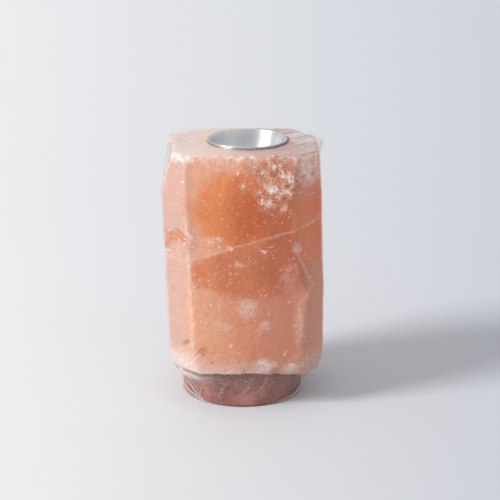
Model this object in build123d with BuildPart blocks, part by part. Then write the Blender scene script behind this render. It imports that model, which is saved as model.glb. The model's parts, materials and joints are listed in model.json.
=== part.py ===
from build123d import *
import os
from math import cos, radians, tan

# Salt lamp: a hewn block of rock salt on a turned wooden base, with a metal dish for aroma oil
# in the top of its bore, a small bulb in a spring-clipped holder inside, and a shrunk clear film.
# Millimetres, +Z up, +X right and +Y to the back. The origin is on the floor under the base's centre.

# Heights of the main pieces
foot_height = 0.8
base_height = 27.7
block_height = 163.5

# Clearances
slip_gap = 0.05
seat_gap = 0.2
film_gap = 0.3

# Salt block: how far its faces stand from the lamp's axis at four levels, and its corner cuts.
# Its dish recess was bored to the right of that axis.
low_left = 53.5
low_right = 59.6
low_front = 50.0
low_back = 49.0
low_front_left_cut = 18.5
low_front_right_cut = 15.6
mid_left = 55.5
mid_right = 59.2
mid_front = 50.5
mid_back = 49.5
mid_front_left_cut = 18.0
mid_front_right_cut = 9.2
high_left = 58.0
high_right = 57.1
high_front = 51.0
high_back = 49.5
high_front_left_cut = 17.5
high_front_right_cut = 18.1
back_right_cut = 25.0
back_left_cut = 22.0
top_left = 50.5
top_right = 55.3
top_front = 47.0
top_back = 42.0
top_front_left_cut = 9.5
top_front_right_cut = 15.8
top_back_right_cut = 21.0
top_back_left_cut = 17.0
foot_bevel_height = 8.0
foot_bevel_depth = 3.5
mid_rise = 66.0
high_rise = 134.5
crown_bevel = 1.5
bore_radius = 24.0
dish_recess_gap = 0.8
dish_recess_depth = 15.0
dish_offset = 3.7

# Shell-shaped chips knocked off the block's edges: ball radius and how deep it bites.
# edge_chip_share is how far up the front-right edge it lies, from the middle level to the high one.
edge_chip_radius = 40.0
edge_chip_bite = 4.5
edge_chip_share = 0.4
corner_chip_radius = 30.0
corner_chip_bite = 5.5

# Aroma dish
dish_bowl_radius = 26.5
dish_flange = 3.5
dish_bowl_depth = 18.0
dish_floor_radius = 8.5
dish_wall = 0.9
dish_bead_radius = 1.0

# Wooden base
base_top_radius = 46.0
base_bottom_radius = 45.2
base_top_round = 1.5
base_bottom_round = 1.5
base_recess_gap = 1.5
base_recess_depth = 14.0
cord_channel_width = 8.0
cord_channel_height = 9.0

# Rubber feet
foot_count = 4
foot_radius = 5.0
foot_margin = 4.5
foot_edge_round = 0.3
foot_start_angle = 45.0

# Base screws and the plugs that they bite into
screw_count = 3
screw_margin = 5.5
screw_radius = 2.0
screw_head_radius = 4.0
screw_length = 46.0
screw_tip_length = 4.0
screw_slot_width = 1.0
screw_slot_depth = 1.0
countersink_angle = 82.0
plug_radius = 4.0
plug_length = 25.0
plug_collar_radius = 5.0
plug_collar_height = 1.2

# Bulb holder
holder_radius = 14.5
holder_height = 37.0
holder_chamber_radius = 10.5
holder_chamber_height = 8.5
holder_floor = 3.0
holder_edge_round = 1.0
small_slot_width = 0.6
small_slot_depth = 0.6
end_cap_lip = 3.5
end_cap_thickness = 2.5
end_cap_spigot_wall = 1.4
end_cap_spigot_height = 3.0
cord_entry_radius = 3.4
cord_collar_radius = 6.0
cord_collar_height = 3.5
thread_gap = 0.2
shell_wall = 0.5
shell_length = 21.0
shell_lip = 2.0
cap_screw_radius = 1.2
cap_screw_head_radius = 2.2
cap_screw_head_height = 1.5
cap_screw_length = 11.0
terminal_length = 5.0
terminal_width = 4.0
terminal_height = 4.5
terminal_offset = 6.0
terminal_screw_radius = 1.0
terminal_screw_head_radius = 1.7
terminal_screw_head_height = 1.3

# Sprung centre contact: bulb_travel is how far it follows the bulb as that is unscrewed
bulb_travel = 2.0
contact_stem_radius = 1.3
contact_head_radius = 3.4
contact_head_height = 1.2
contact_collar_radius = 2.3
contact_collar_height = 1.0
spring_wire_radius = 0.25
spring_coil_radius = 2.3
spring_turns = 5
spring_length = 6.0

# Spring clips
clip_count = 3
clip_start_angle = 30.0
clip_thickness = 0.5
clip_width = 6.0
clip_top = 24.0
clip_bottom = 2.0
clip_contact_rise = 7.0
clip_free_end_rise = 15.0
clip_bend_radius = 0.6
clip_hairpin = 1.8
clip_room = 4.5
rivet_radius = 1.2
rivet_head_radius = 2.1
rivet_head_height = 0.7
rivet_length = 4.0
rivet_drop = 3.5

# Bulb with its screw cap
bulb_radius = 13.0
bulb_glass_height = 43.0
bulb_neck_gap = 0.15
bulb_neck_height = 7.0
bulb_shoulder_height = 12.0
bulb_wall = 0.7
cap_thread_radius = 6.9
cap_thread_depth = 0.55
cap_thread_pitch = 2.82
cap_thread_turns = 4
cap_wall = 0.4
cap_skirt_height = 5.0
insulator_height = 3.0
tip_radius = 2.4
tip_height = 1.8
tip_taper = 20.0
insulator_shoulder = 0.6
stem_flare_height = 1.5
stem_radius = 2.6
stem_height = 14.0
pinch_margin = 1.0
pinch_depth = 3.0
pinch_height = 6.0
lead_radius = 0.35
lead_length = 10.0
filament_radius = 4.0
filament_wire_radius = 0.35

# Shrunk film
film_thickness = 0.25
film_opening_margin = 3.0
film_foot_ease = 0.6
film_foot_rise = 9.0
film_notch_margin = 1.5
film_bulge_radius = 1500.0

# Radii that follow from the pieces that fit together
dish_rim_radius = dish_bowl_radius + dish_flange
dish_recess_radius = dish_bowl_radius + dish_wall + dish_recess_gap
base_bore_radius = holder_radius + clip_room
end_cap_radius = base_bore_radius + end_cap_lip
base_flat_radius = base_bottom_radius - base_bottom_round
foot_circle_radius = base_flat_radius - foot_radius - foot_margin
screw_circle_radius = base_flat_radius - screw_head_radius - screw_margin
base_recess_radius = end_cap_radius + base_recess_gap
cap_screw_circle_radius = (holder_radius + holder_chamber_radius) / 2
shell_radius = cap_thread_radius + thread_gap
cap_root = cap_thread_radius - cap_thread_depth
bulb_neck_radius = cap_root - cap_wall - bulb_neck_gap
pinch_width = 2 * (filament_radius + pinch_margin)
film_opening_radius = dish_rim_radius + film_opening_margin

# Levels that the sizes above give
base_bottom = foot_height
base_top = base_bottom + base_height
block_bottom = base_top
block_low = block_bottom + foot_bevel_height
block_mid = block_bottom + mid_rise
block_high = block_bottom + high_rise
block_top = block_bottom + block_height
holder_seat = base_bottom + base_recess_depth
chamber_top = holder_seat + holder_chamber_height
socket_floor = chamber_top + holder_floor
holder_top = holder_seat + holder_height
contact_head_bottom = socket_floor + spring_length
bulb_bottom = contact_head_bottom + contact_head_height
insulator_bottom = bulb_bottom + tip_height
cap_bottom = insulator_bottom + insulator_height
cap_thread_top = cap_bottom + cap_thread_pitch * cap_thread_turns
cap_top = cap_thread_top + cap_skirt_height
glass_bottom = cap_top - bulb_neck_height
glass_top = glass_bottom + bulb_glass_height
stem_top = glass_bottom + stem_height
lead_bottom = stem_top + pinch_height
filament_level = lead_bottom + lead_length
shell_bottom = holder_top - shell_length


def corners(left, right, front, back, front_left, front_right, back_right, back_left):
    """Eight corners of a section of the block, anticlockwise from its front-left edge."""
    return [
        Vector(-left + front_left, -front),
        Vector(right - front_right, -front),
        Vector(right, -front + front_right),
        Vector(right, back - back_right),
        Vector(right - back_right, back),
        Vector(-left + back_left, back),
        Vector(-left, back - back_left),
        Vector(-left, -front + front_left),
    ]


def grown(points, gap):
    """An anticlockwise outline with every edge moved out by gap."""
    moved = []
    for before, corner, after in zip(points[-1:] + points[:-1], points, points[1:] + points[:1]):
        along = (corner - before).normalized()
        onward = (after - corner).normalized()
        outward = Vector(along.Y + onward.Y, -along.X - onward.X)
        moved.append(corner + outward * (gap / (1 + along.dot(onward))))
    return moved


def with_midpoints(points):
    """The anticlockwise outline with a point added at each edge's middle, on the film's slight bulge."""
    split = []
    for start, end in zip(points, points[1:] + points[:1]):
        edge = end - start
        bulge = Vector(edge.Y, -edge.X) * (edge.length / (8 * film_bulge_radius))
        split += [start, (start + end) * 0.5 + bulge]
    return split


def film_outline(points):
    """The outline of the film around that outline, with four points to an edge."""
    return with_midpoints(with_midpoints(points))


def ring_about(radius, points):
    """A polygon around a circle of that radius, with its corners in the directions of points."""
    turns = [a.get_angle(b) for a, b in zip(points, points[1:] + points[:1])]
    reach = radius / cos(radians(max(turns) / 2))
    return [p.normalized() * reach for p in points]


def save(builder, name):
    builder.part.label = name
    export_step(builder.part, f"parts/{name}.step")


os.makedirs("parts", exist_ok=True)

back_cuts = (back_right_cut, back_left_cut)
low_cuts = (low_front_left_cut, low_front_right_cut, *back_cuts)
mid_cuts = (mid_front_left_cut, mid_front_right_cut, *back_cuts)
high_cuts = (high_front_left_cut, high_front_right_cut, *back_cuts)
top_cuts = (top_front_left_cut, top_front_right_cut, top_back_right_cut, top_back_left_cut)
low_outline = corners(low_left, low_right, low_front, low_back, *low_cuts)
mid_outline = corners(mid_left, mid_right, mid_front, mid_back, *mid_cuts)
high_outline = corners(high_left, high_right, high_front, high_back, *high_cuts)
top_outline = corners(top_left, top_right, top_front, top_back, *top_cuts)

# Salt block, with a bore right through it and a recess in which the dish hangs
block_sections = [
    (block_bottom, grown(low_outline, -foot_bevel_depth)),
    (block_low, low_outline),
    (block_mid, mid_outline),
    (block_high, high_outline),
    (block_top - crown_bevel, top_outline),
    (block_top, grown(top_outline, -crown_bevel)),
]
front_right_edge = mid_outline[1] + (high_outline[1] - mid_outline[1]) * edge_chip_share
edge_chip_level = block_mid + (block_high - block_mid) * edge_chip_share
edge_outward = (Vector(0, -1) + Vector(1, -1).normalized()).normalized()
edge_chip_centre = front_right_edge + edge_outward * (edge_chip_radius - edge_chip_bite)
corner_chip_corner = top_outline[4]
corner_chip_centre = corner_chip_corner + corner_chip_corner.normalized() * (
    corner_chip_radius - corner_chip_bite
)
plug_places = PolarLocations(screw_circle_radius, screw_count, 180, 180, endpoint=True)
with BuildPart() as salt_block:
    for level, outline in block_sections:
        with BuildSketch(Plane.XY.offset(level)):
            with BuildLine():
                Polyline(*outline, close=True)
            make_face()
    loft(ruled=True)
    with BuildSketch(Plane.XY.offset(block_bottom)):
        Circle(bore_radius)
    extrude(amount=block_height, mode=Mode.SUBTRACT)
    with BuildSketch(Plane.XY.offset(block_top)):
        with Locations((dish_offset, 0)):
            Circle(dish_recess_radius)
    extrude(amount=-dish_recess_depth, mode=Mode.SUBTRACT)
    with Locations((edge_chip_centre.X, edge_chip_centre.Y, edge_chip_level)):
        Sphere(edge_chip_radius, mode=Mode.SUBTRACT)
    with Locations((corner_chip_centre.X, corner_chip_centre.Y, block_top)):
        Sphere(corner_chip_radius, mode=Mode.SUBTRACT)
    with BuildSketch(Plane.XY.offset(block_bottom)):
        with plug_places:
            Circle(plug_radius + slip_gap)
    extrude(amount=plug_length + slip_gap, mode=Mode.SUBTRACT)
    with BuildSketch(Plane.XY.offset(block_bottom)):
        with plug_places:
            Circle(plug_collar_radius + slip_gap)
    extrude(amount=plug_collar_height + slip_gap, mode=Mode.SUBTRACT)
save(salt_block, "salt_block")

# Aroma dish: a spun bowl with a flat floor, whose rolled bead rests on the salt
bead_level = block_top + seat_gap + dish_bead_radius
bowl_floor = bead_level - dish_bowl_depth
bead_place = dish_rim_radius - dish_bead_radius
dish_plane = Plane.XZ.shift_origin((dish_offset, 0, 0))
with BuildPart() as aroma_dish:
    with BuildSketch(dish_plane):
        with BuildLine():
            inner_floor = Line((0, bowl_floor), (dish_floor_radius, bowl_floor))
            inner_side = TangentArc(inner_floor @ 1, (dish_bowl_radius, bead_level), tangent=(1, 0))
            top_edge = Line(inner_side @ 1, (bead_place, bead_level))
            Line(top_edge @ 1, (bead_place, bead_level - dish_wall))
            under_edge = Line(
                (bead_place, bead_level - dish_wall), (dish_bowl_radius + dish_wall, bead_level - dish_wall)
            )
            outer_floor = Line(
                (0, bowl_floor - dish_wall), (dish_floor_radius, bowl_floor - dish_wall)
            )
            TangentArc(outer_floor @ 1, under_edge @ 1, tangent=(1, 0))
            Line(outer_floor @ 0, inner_floor @ 0)
        make_face()
        with Locations((bead_place, bead_level)):
            Circle(dish_bead_radius)
    revolve(axis=Axis((dish_offset, 0, 0), (0, 0, 1)))
save(aroma_dish, "aroma_dish")

# Wooden base, turned, with a recess and a channel for the cord underneath
with BuildPart() as wooden_base:
    with BuildSketch(Plane.XZ) as base_profile:
        with BuildLine():
            Polyline(
                (0, base_bottom),
                (base_bottom_radius, base_bottom),
                (base_top_radius, base_top),
                (0, base_top),
                close=True,
            )
        make_face()
        fillet(base_profile.vertices().filter_by(lambda v: v.X > 0).sort_by(Axis.Y)[0], base_bottom_round)
        fillet(base_profile.vertices().filter_by(lambda v: v.X > 0).sort_by(Axis.Y)[-1], base_top_round)
    revolve(axis=Axis.Z)
    with Locations(Location((0, 0, base_bottom), (180, 0, 0))):
        CounterBoreHole(base_bore_radius, base_recess_radius, base_recess_depth)
    with BuildSketch(Plane.XY.offset(base_bottom)):
        with Locations((0, base_top_radius / 2)):
            Rectangle(cord_channel_width, base_top_radius)
    extrude(amount=cord_channel_height, mode=Mode.SUBTRACT)
    with Locations(Plane.XY.offset(base_bottom).rotated((180, 0, 0))):
        with PolarLocations(screw_circle_radius, screw_count, 180, -180, endpoint=True):
            CounterSinkHole(screw_radius + slip_gap, screw_head_radius + slip_gap)
save(wooden_base, "wooden_base")

# Rubber feet
foot_places = PolarLocations(foot_circle_radius, foot_count, foot_start_angle).local_locations
for number, place in enumerate(foot_places, start=1):
    with BuildPart() as rubber_foot:
        with BuildSketch(Plane(place)):
            Circle(foot_radius)
        extrude(amount=foot_height)
        fillet(rubber_foot.edges().sort_by(Axis.Z)[0], foot_edge_round)
    save(rubber_foot, f"rubber_foot_{number}")

# Plugs in the salt, and the countersunk screws that hold the base to them
with BuildPart() as wall_plug:
    with BuildSketch(Plane.XY.offset(block_bottom)):
        Circle(plug_radius)
    extrude(amount=plug_length)
    with BuildSketch(Plane.XY.offset(block_bottom)):
        Circle(plug_collar_radius)
    extrude(amount=plug_collar_height)
    with Locations((0, 0, block_bottom + plug_length)):
        Hole(screw_radius + slip_gap)
with BuildPart() as wall_plugs:
    with plug_places:
        add(wall_plug.part)
save(wall_plugs, "wall_plugs")

screw_head_height = (screw_head_radius - screw_radius) / tan(radians(countersink_angle / 2))
screw_end = base_bottom + screw_length
with BuildPart() as base_screw:
    with BuildSketch(Plane.XZ):
        with BuildLine():
            Polyline(
                (0, base_bottom),
                (screw_head_radius, base_bottom),
                (screw_radius, base_bottom + screw_head_height),
                (screw_radius, screw_end - screw_tip_length),
                (0, screw_end),
                close=True,
            )
        make_face()
    revolve(axis=Axis.Z)
    with BuildSketch(Plane.XY.offset(base_bottom)):
        Rectangle(2 * screw_head_radius, screw_slot_width)
    extrude(amount=screw_slot_depth, mode=Mode.SUBTRACT)
with BuildPart() as base_screws:
    with plug_places:
        add(base_screw.part)
save(base_screws, "base_screws")

# Bulb holder: a moulded cup with the wiring chamber below and the socket above
rivet_level = holder_seat + clip_top - rivet_drop
cap_screw_rise = cap_screw_length - end_cap_thickness
cap_screw_places = PolarLocations(cap_screw_circle_radius, 2)
clip_angles = [clip_start_angle + 360 / clip_count * n for n in range(clip_count)]


def radial_plane(angle, level):
    """A plane through the lamp's axis, with its x pointing outwards at that angle and its y up."""
    outward = Vector(1, 0, 0).rotate(Axis.Z, angle)
    return Plane(origin=(0, 0, level), x_dir=outward, z_dir=outward.rotate(Axis.Z, -90))


def facing_plane(angle, radius, level):
    """A plane square to the direction at that angle, which looks outwards."""
    outward = Vector(1, 0, 0).rotate(Axis.Z, angle)
    return Plane(origin=outward * radius + Vector(0, 0, level), z_dir=outward)


with BuildPart() as holder_body:
    with BuildSketch(Plane.XY.offset(holder_seat)):
        Circle(holder_radius)
    extrude(amount=holder_height)
    fillet(holder_body.edges().sort_by(Axis.Z)[-1], holder_edge_round)
    with BuildSketch(Plane.XY.offset(holder_seat)):
        Circle(holder_chamber_radius)
    extrude(amount=holder_chamber_height, mode=Mode.SUBTRACT)
    with BuildSketch(Plane.XY.offset(socket_floor)):
        Circle(shell_radius + shell_wall + slip_gap)
    extrude(amount=holder_top - socket_floor, mode=Mode.SUBTRACT)
    with Locations((0, 0, socket_floor)):
        Hole(contact_stem_radius + seat_gap, holder_floor)
    with BuildSketch(Plane.XY.offset(holder_seat)):
        with cap_screw_places:
            Circle(cap_screw_radius + slip_gap)
    extrude(amount=cap_screw_rise + slip_gap, mode=Mode.SUBTRACT)
    for angle in clip_angles:
        with BuildSketch(facing_plane(angle, holder_radius, rivet_level)):
            Circle(rivet_radius + slip_gap)
        extrude(amount=-rivet_length - slip_gap, mode=Mode.SUBTRACT)
save(holder_body, "holder_body")

# End cap: closes the wiring chamber, bears on the base and takes the cord
cap_under = holder_seat - end_cap_thickness
spigot_radius = holder_chamber_radius - slip_gap
with BuildPart() as holder_end_cap:
    with BuildSketch(Plane.XY.offset(cap_under)):
        Circle(end_cap_radius)
    extrude(amount=end_cap_thickness)
    with BuildSketch(Plane.XY.offset(holder_seat)):
        Circle(spigot_radius)
        Circle(spigot_radius - end_cap_spigot_wall, mode=Mode.SUBTRACT)
    extrude(amount=end_cap_spigot_height)
    with BuildSketch(Plane.XY.offset(cap_under - cord_collar_height)):
        Circle(cord_collar_radius)
    extrude(amount=cord_collar_height)
    with BuildSketch(Plane.XY.offset(cap_under - cord_collar_height)):
        Circle(cord_entry_radius)
    extrude(amount=cord_collar_height + end_cap_thickness, mode=Mode.SUBTRACT)
    with BuildSketch(Plane.XY.offset(cap_under)):
        with cap_screw_places:
            Circle(cap_screw_radius + slip_gap)
    extrude(amount=end_cap_thickness, mode=Mode.SUBTRACT)
save(holder_end_cap, "holder_end_cap")

with BuildPart() as cap_screw:
    with BuildSketch(Plane.XY.offset(cap_under)):
        Circle(cap_screw_radius)
    extrude(amount=cap_screw_length)
    with BuildSketch(Plane.XY.offset(cap_under)):
        Circle(cap_screw_head_radius)
    extrude(amount=-cap_screw_head_height)
    with BuildSketch(Plane.XY.offset(cap_under - cap_screw_head_height)):
        Rectangle(2 * cap_screw_head_radius, small_slot_width)
    extrude(amount=small_slot_depth, mode=Mode.SUBTRACT)
with BuildPart() as cap_screws:
    with cap_screw_places:
        add(cap_screw.part)
save(cap_screws, "cap_screws")

# Terminals under the chamber's roof, each with its clamp screw
terminal_under = chamber_top - terminal_height
terminal_screw_rise = terminal_height - slip_gap
for name, side in (("live_terminal", 1), ("neutral_terminal", -1)):
    with BuildPart() as terminal:
        with BuildSketch(Plane.XY.offset(terminal_under)):
            with Locations((side * terminal_offset, 0)):
                Rectangle(terminal_length, terminal_width)
                Circle(terminal_screw_radius + slip_gap, mode=Mode.SUBTRACT)
        extrude(amount=terminal_height)
    save(terminal, name)
with BuildPart() as terminal_screw:
    with BuildSketch(Plane.XY.offset(terminal_under)):
        Circle(terminal_screw_radius)
    extrude(amount=terminal_screw_rise)
    with BuildSketch(Plane.XY.offset(terminal_under)):
        Circle(terminal_screw_head_radius)
    extrude(amount=-terminal_screw_head_height)
    with BuildSketch(Plane.XY.offset(terminal_under - terminal_screw_head_height)):
        Rectangle(2 * terminal_screw_head_radius, small_slot_width)
    extrude(amount=small_slot_depth, mode=Mode.SUBTRACT)
with BuildPart() as terminal_screws:
    with PolarLocations(terminal_offset, 2):
        add(terminal_screw.part)
save(terminal_screws, "terminal_screws")

# Screw shell, pressed into the socket, with a lip round its lower end
with BuildPart() as screw_shell:
    with BuildSketch(Plane.XY.offset(shell_bottom)):
        Circle(shell_radius + shell_wall)
        Circle(shell_radius, mode=Mode.SUBTRACT)
    extrude(amount=shell_length)
    with BuildSketch(Plane.XY.offset(shell_bottom)):
        Circle(shell_radius)
        Circle(shell_radius - shell_lip, mode=Mode.SUBTRACT)
    extrude(amount=shell_wall)
save(screw_shell, "screw_shell")

# Sprung centre contact, which follows the bulb's tip until its collar meets the chamber's roof
contact_collar_top = chamber_top - bulb_travel - seat_gap
with BuildPart() as contact_pin:
    with BuildSketch(Plane.XY.offset(contact_collar_top - contact_collar_height)):
        Circle(contact_collar_radius)
    extrude(amount=contact_collar_height)
    with BuildSketch(Plane.XY.offset(contact_collar_top)):
        Circle(contact_stem_radius)
    extrude(amount=contact_head_bottom - contact_collar_top)
    with BuildSketch(Plane.XY.offset(contact_head_bottom)):
        Circle(contact_head_radius)
    extrude(amount=contact_head_height)
save(contact_pin, "contact_pin")

spring_rise = spring_length - 2 * spring_wire_radius
spring_start = socket_floor + spring_wire_radius
with BuildPart() as contact_spring:
    with BuildLine() as spring_line:
        Helix(spring_rise / spring_turns, spring_rise, spring_coil_radius, center=(0, 0, spring_start))
    with BuildSketch(Plane(origin=spring_line.line @ 0, z_dir=spring_line.line % 0)):
        Circle(spring_wire_radius)
    sweep(path=spring_line.line)
save(contact_spring, "contact_spring")

# Spring clips: strips bent double, whose free arms bow out against the base's bore
clip_leg = holder_radius + clip_thickness / 2
clip_contact = base_bore_radius - seat_gap - clip_thickness / 2
for number, angle in enumerate(clip_angles, start=1):
    with BuildPart() as spring_clip:
        with BuildSketch(radial_plane(angle, holder_seat)):
            with BuildLine():
                FilletPolyline(
                    (clip_leg, clip_top),
                    (clip_leg, clip_bottom),
                    (clip_leg + clip_hairpin, clip_bottom),
                    (clip_contact, clip_contact_rise),
                    (clip_leg + clip_hairpin, clip_free_end_rise),
                    radius=clip_bend_radius,
                )
            trace(line_width=clip_thickness)
        extrude(amount=clip_width / 2, both=True)
        with BuildSketch(facing_plane(angle, holder_radius, rivet_level)):
            Circle(rivet_radius + slip_gap)
        extrude(amount=clip_thickness, mode=Mode.SUBTRACT)
    save(spring_clip, f"spring_clip_{number}")

with BuildPart() as clip_rivets:
    for angle in clip_angles:
        with BuildSketch(facing_plane(angle, holder_radius + clip_thickness, rivet_level)):
            Circle(rivet_radius)
        extrude(amount=-rivet_length - clip_thickness)
        with BuildSketch(facing_plane(angle, holder_radius + clip_thickness, rivet_level)):
            Circle(rivet_head_radius)
        extrude(amount=rivet_head_height)
save(clip_rivets, "clip_rivets")


# Bulb: blown glass on a screw cap, with a stem that carries the filament
def bulb_outline(inset):
    """Half outline of the glass, moved in by inset, from the end of its neck to its crown."""
    neck = bulb_neck_radius - inset
    body = bulb_radius - inset
    shoulder_top = cap_top + bulb_shoulder_height
    neck_line = Line((neck, glass_bottom), (neck, cap_top))
    lower = TangentArc(
        neck_line @ 1, ((neck + body) / 2, (cap_top + shoulder_top) / 2), tangent=neck_line % 1
    )
    upper = TangentArc(lower @ 1, (body, shoulder_top), tangent=lower % 1)
    side = Line(upper @ 1, (body, glass_top - bulb_radius))
    crown = CenterArc((0, glass_top - bulb_radius), body, 0, 90)
    return neck_line @ 0, crown @ 1


with BuildPart() as bulb_glass:
    with BuildSketch(Plane.XZ):
        with BuildLine():
            outer_end, outer_crown = bulb_outline(0)
            inner_end, inner_crown = bulb_outline(bulb_wall)
            Line(outer_end, inner_end)
            Line(outer_crown, inner_crown)
        make_face()
    revolve(axis=Axis.Z)
save(bulb_glass, "bulb_glass")

with BuildPart() as bulb_cap:
    with BuildSketch(Plane.XZ):
        with BuildLine():
            for turn in range(cap_thread_turns):
                ridge = cap_bottom + turn * cap_thread_pitch
                ThreePointArc(
                    (cap_root, ridge),
                    (cap_thread_radius, ridge + cap_thread_pitch / 2),
                    (cap_root, ridge + cap_thread_pitch),
                )
            Polyline(
                (cap_root, cap_thread_top),
                (cap_root, cap_top),
                (cap_root - cap_wall, cap_top),
                (cap_root - cap_wall, cap_bottom),
                (cap_root, cap_bottom),
            )
        make_face()
    revolve(axis=Axis.Z)
save(bulb_cap, "bulb_cap")

with BuildPart() as cap_insulator:
    with BuildSketch(Plane.XZ):
        with BuildLine():
            Polyline(
                (0, insulator_bottom),
                (tip_radius + insulator_shoulder, insulator_bottom),
                (cap_root, cap_bottom),
                (0, cap_bottom),
                close=True,
            )
        make_face()
    revolve(axis=Axis.Z)
save(cap_insulator, "cap_insulator")

with BuildPart() as bulb_tip:
    with BuildSketch(Plane.XY.offset(insulator_bottom)):
        Circle(tip_radius)
    extrude(amount=-tip_height, taper=tip_taper)
save(bulb_tip, "bulb_tip")

with BuildPart() as glass_stem:
    with BuildSketch(Plane.XY.offset(glass_bottom - stem_flare_height)):
        Circle(bulb_neck_radius)
    extrude(amount=stem_flare_height)
    with BuildSketch(Plane.XY.offset(glass_bottom)):
        Circle(stem_radius)
    extrude(amount=stem_height)
    with BuildSketch(Plane.XY.offset(stem_top)):
        Rectangle(pinch_width, pinch_depth)
    extrude(amount=pinch_height)
save(glass_stem, "glass_stem")

with BuildPart() as lead_wires:
    with BuildSketch(Plane.XY.offset(lead_bottom)):
        with PolarLocations(filament_radius, 2):
            Circle(lead_radius)
    extrude(amount=lead_length)
save(lead_wires, "lead_wires")

with BuildPart() as filament:
    with BuildSketch(Plane.XY.offset(filament_level)):
        with Locations((filament_radius, 0)):
            Circle(filament_wire_radius)
    revolve(axis=Axis((0, 0, filament_level), (0, -1, 0)), revolution_arc=180)
save(filament, "filament")

with BuildPart() as filament_support:
    with BuildSketch(Plane.XY.offset(lead_bottom)):
        Circle(lead_radius)
    extrude(amount=lead_length + filament_radius - filament_wire_radius - slip_gap)
save(filament_support, "filament_support")

# Shrunk film: it bridges from the block's lower edge to the base's foot, and is open round the
# dish, under the base and at the cord channel
block_directions = film_outline(low_outline)
base_slope = (base_top_radius - base_bottom_radius) / base_height
foot_reach = base_bottom_radius + base_slope * film_foot_rise + film_foot_ease
hem_ring = ring_about(base_bottom_radius + film_foot_ease, block_directions)
foot_ring = ring_about(foot_reach, block_directions)
shoulder_ring = ring_about(base_top_radius + film_foot_ease, block_directions)
film_hem_level = base_bottom - film_gap
film_foot_level = base_bottom + film_foot_rise
film_top_level = block_top + film_gap


def film_sections(growth):
    """Levels and outlines of the film's surface, moved out by growth from its inner face."""
    hem = grown(hem_ring, growth)
    foot = grown(foot_ring, growth)
    low = film_outline(grown(low_outline, film_gap + growth))
    mid = film_outline(grown(mid_outline, film_gap + growth))
    high = film_outline(grown(high_outline, film_gap + growth))
    top = film_outline(grown(top_outline, film_gap + growth))
    bevel = film_outline(grown(low_outline, film_gap + growth - foot_bevel_depth))
    rest = grown(shoulder_ring, growth)
    shoulder = [max(pair, key=lambda point: point.length) for pair in zip(bevel, rest)]
    return [
        (film_hem_level - growth, hem),
        (film_foot_level, foot),
        (base_top, shoulder),
        (block_low, low),
        (block_mid, mid),
        (block_high, high),
        (block_top - crown_bevel, top),
        (film_top_level + growth, top),
    ]


def film_solid(growth):
    with BuildPart() as solid:
        for level, outline in film_sections(growth):
            with BuildSketch(Plane.XY.offset(level)):
                with BuildLine():
                    Polyline(*outline, close=True)
                make_face()
        loft(ruled=True)
    return solid.part


film_outside = film_solid(film_thickness)
film_inside = film_solid(0)
with BuildPart() as shrink_film:
    add(film_outside)
    add(film_inside, mode=Mode.SUBTRACT)
    with BuildSketch(Plane.XY.offset(film_top_level)):
        with Locations((dish_offset, 0)):
            Circle(film_opening_radius)
    extrude(amount=film_thickness, mode=Mode.SUBTRACT)
    with BuildSketch(Plane.XY.offset(film_hem_level)):
        Circle(base_flat_radius)
    extrude(amount=-film_thickness, mode=Mode.SUBTRACT)
    with BuildSketch(Plane.XY.offset(film_hem_level - film_thickness)):
        with Locations((0, base_top_radius)):
            Rectangle(cord_channel_width + 2 * film_notch_margin, base_top_radius)
    extrude(amount=cord_channel_height + film_notch_margin, mode=Mode.SUBTRACT)
save(shrink_film, "shrink_film")
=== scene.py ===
import functools
import json
import math
import bmesh
import bpy
import numpy as np
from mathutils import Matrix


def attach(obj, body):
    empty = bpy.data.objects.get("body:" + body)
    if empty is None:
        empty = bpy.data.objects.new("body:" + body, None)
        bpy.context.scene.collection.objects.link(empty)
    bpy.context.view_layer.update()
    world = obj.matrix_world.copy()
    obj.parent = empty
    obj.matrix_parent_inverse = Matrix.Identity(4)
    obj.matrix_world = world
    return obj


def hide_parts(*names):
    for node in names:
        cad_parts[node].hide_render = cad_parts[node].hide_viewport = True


# Salt lamp in clear shrunk film: a hewn block of rock salt on a turned base, with a spun dish on top.
# Shapes are written in millimetres and put into the meshes in metres, in the CAD frame.
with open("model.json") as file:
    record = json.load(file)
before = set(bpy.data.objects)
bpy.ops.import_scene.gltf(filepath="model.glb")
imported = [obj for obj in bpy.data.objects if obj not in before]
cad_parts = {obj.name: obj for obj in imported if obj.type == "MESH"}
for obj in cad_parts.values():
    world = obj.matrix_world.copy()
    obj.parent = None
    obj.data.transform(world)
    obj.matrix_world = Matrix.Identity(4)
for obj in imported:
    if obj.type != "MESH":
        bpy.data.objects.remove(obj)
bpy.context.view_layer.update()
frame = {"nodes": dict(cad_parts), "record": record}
cadNodes = frame["nodes"]
scene = bpy.context.scene
scene.view_settings.view_transform = "Standard"
mm = 0.001
print("frame loaded:", len(cadNodes), "nodes")

cameraView = {"place": (0.0058, -1.085, 0.451), "pitchDeg": 17.54, "lensMm": 109.5, "sensorMm": 36.0}
cameraData = bpy.data.cameras.new("photoCamera")
cameraData.sensor_width = cameraView["sensorMm"]
cameraData.lens = cameraView["lensMm"]
camera = bpy.data.objects.new("photoCamera", cameraData)
camera.location = cameraView["place"]
camera.rotation_euler = (math.radians(90 - cameraView["pitchDeg"]), 0, 0)
scene.collection.objects.link(camera)
scene.camera = camera
print("camera set")


def linear(hexColour):
    # sRGB hex to linear light with the standard curve: a straight toe, then a 2.4 power
    shown = np.array([int(hexColour[i:i + 2], 16) for i in (0, 2, 4)]) / 255
    light = np.where(shown <= 0.04045, shown / 12.92, ((shown + 0.055) / 1.055) ** 2.4)
    return (*light.tolist(), 1.0)


def perMm(size):
    # texture scale, in repeats per metre, of a pattern that repeats each size millimetres
    return 1000.0 / size


# the setting behind a node's mode, which is written after its kind, as in Math.MULTIPLY
modeSettings = {
    "Math": "operation", "VectorMath": "operation", "Mix": "data_type", "MapRange": "interpolation_type",
    "TexGradient": "gradient_type"}


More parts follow.
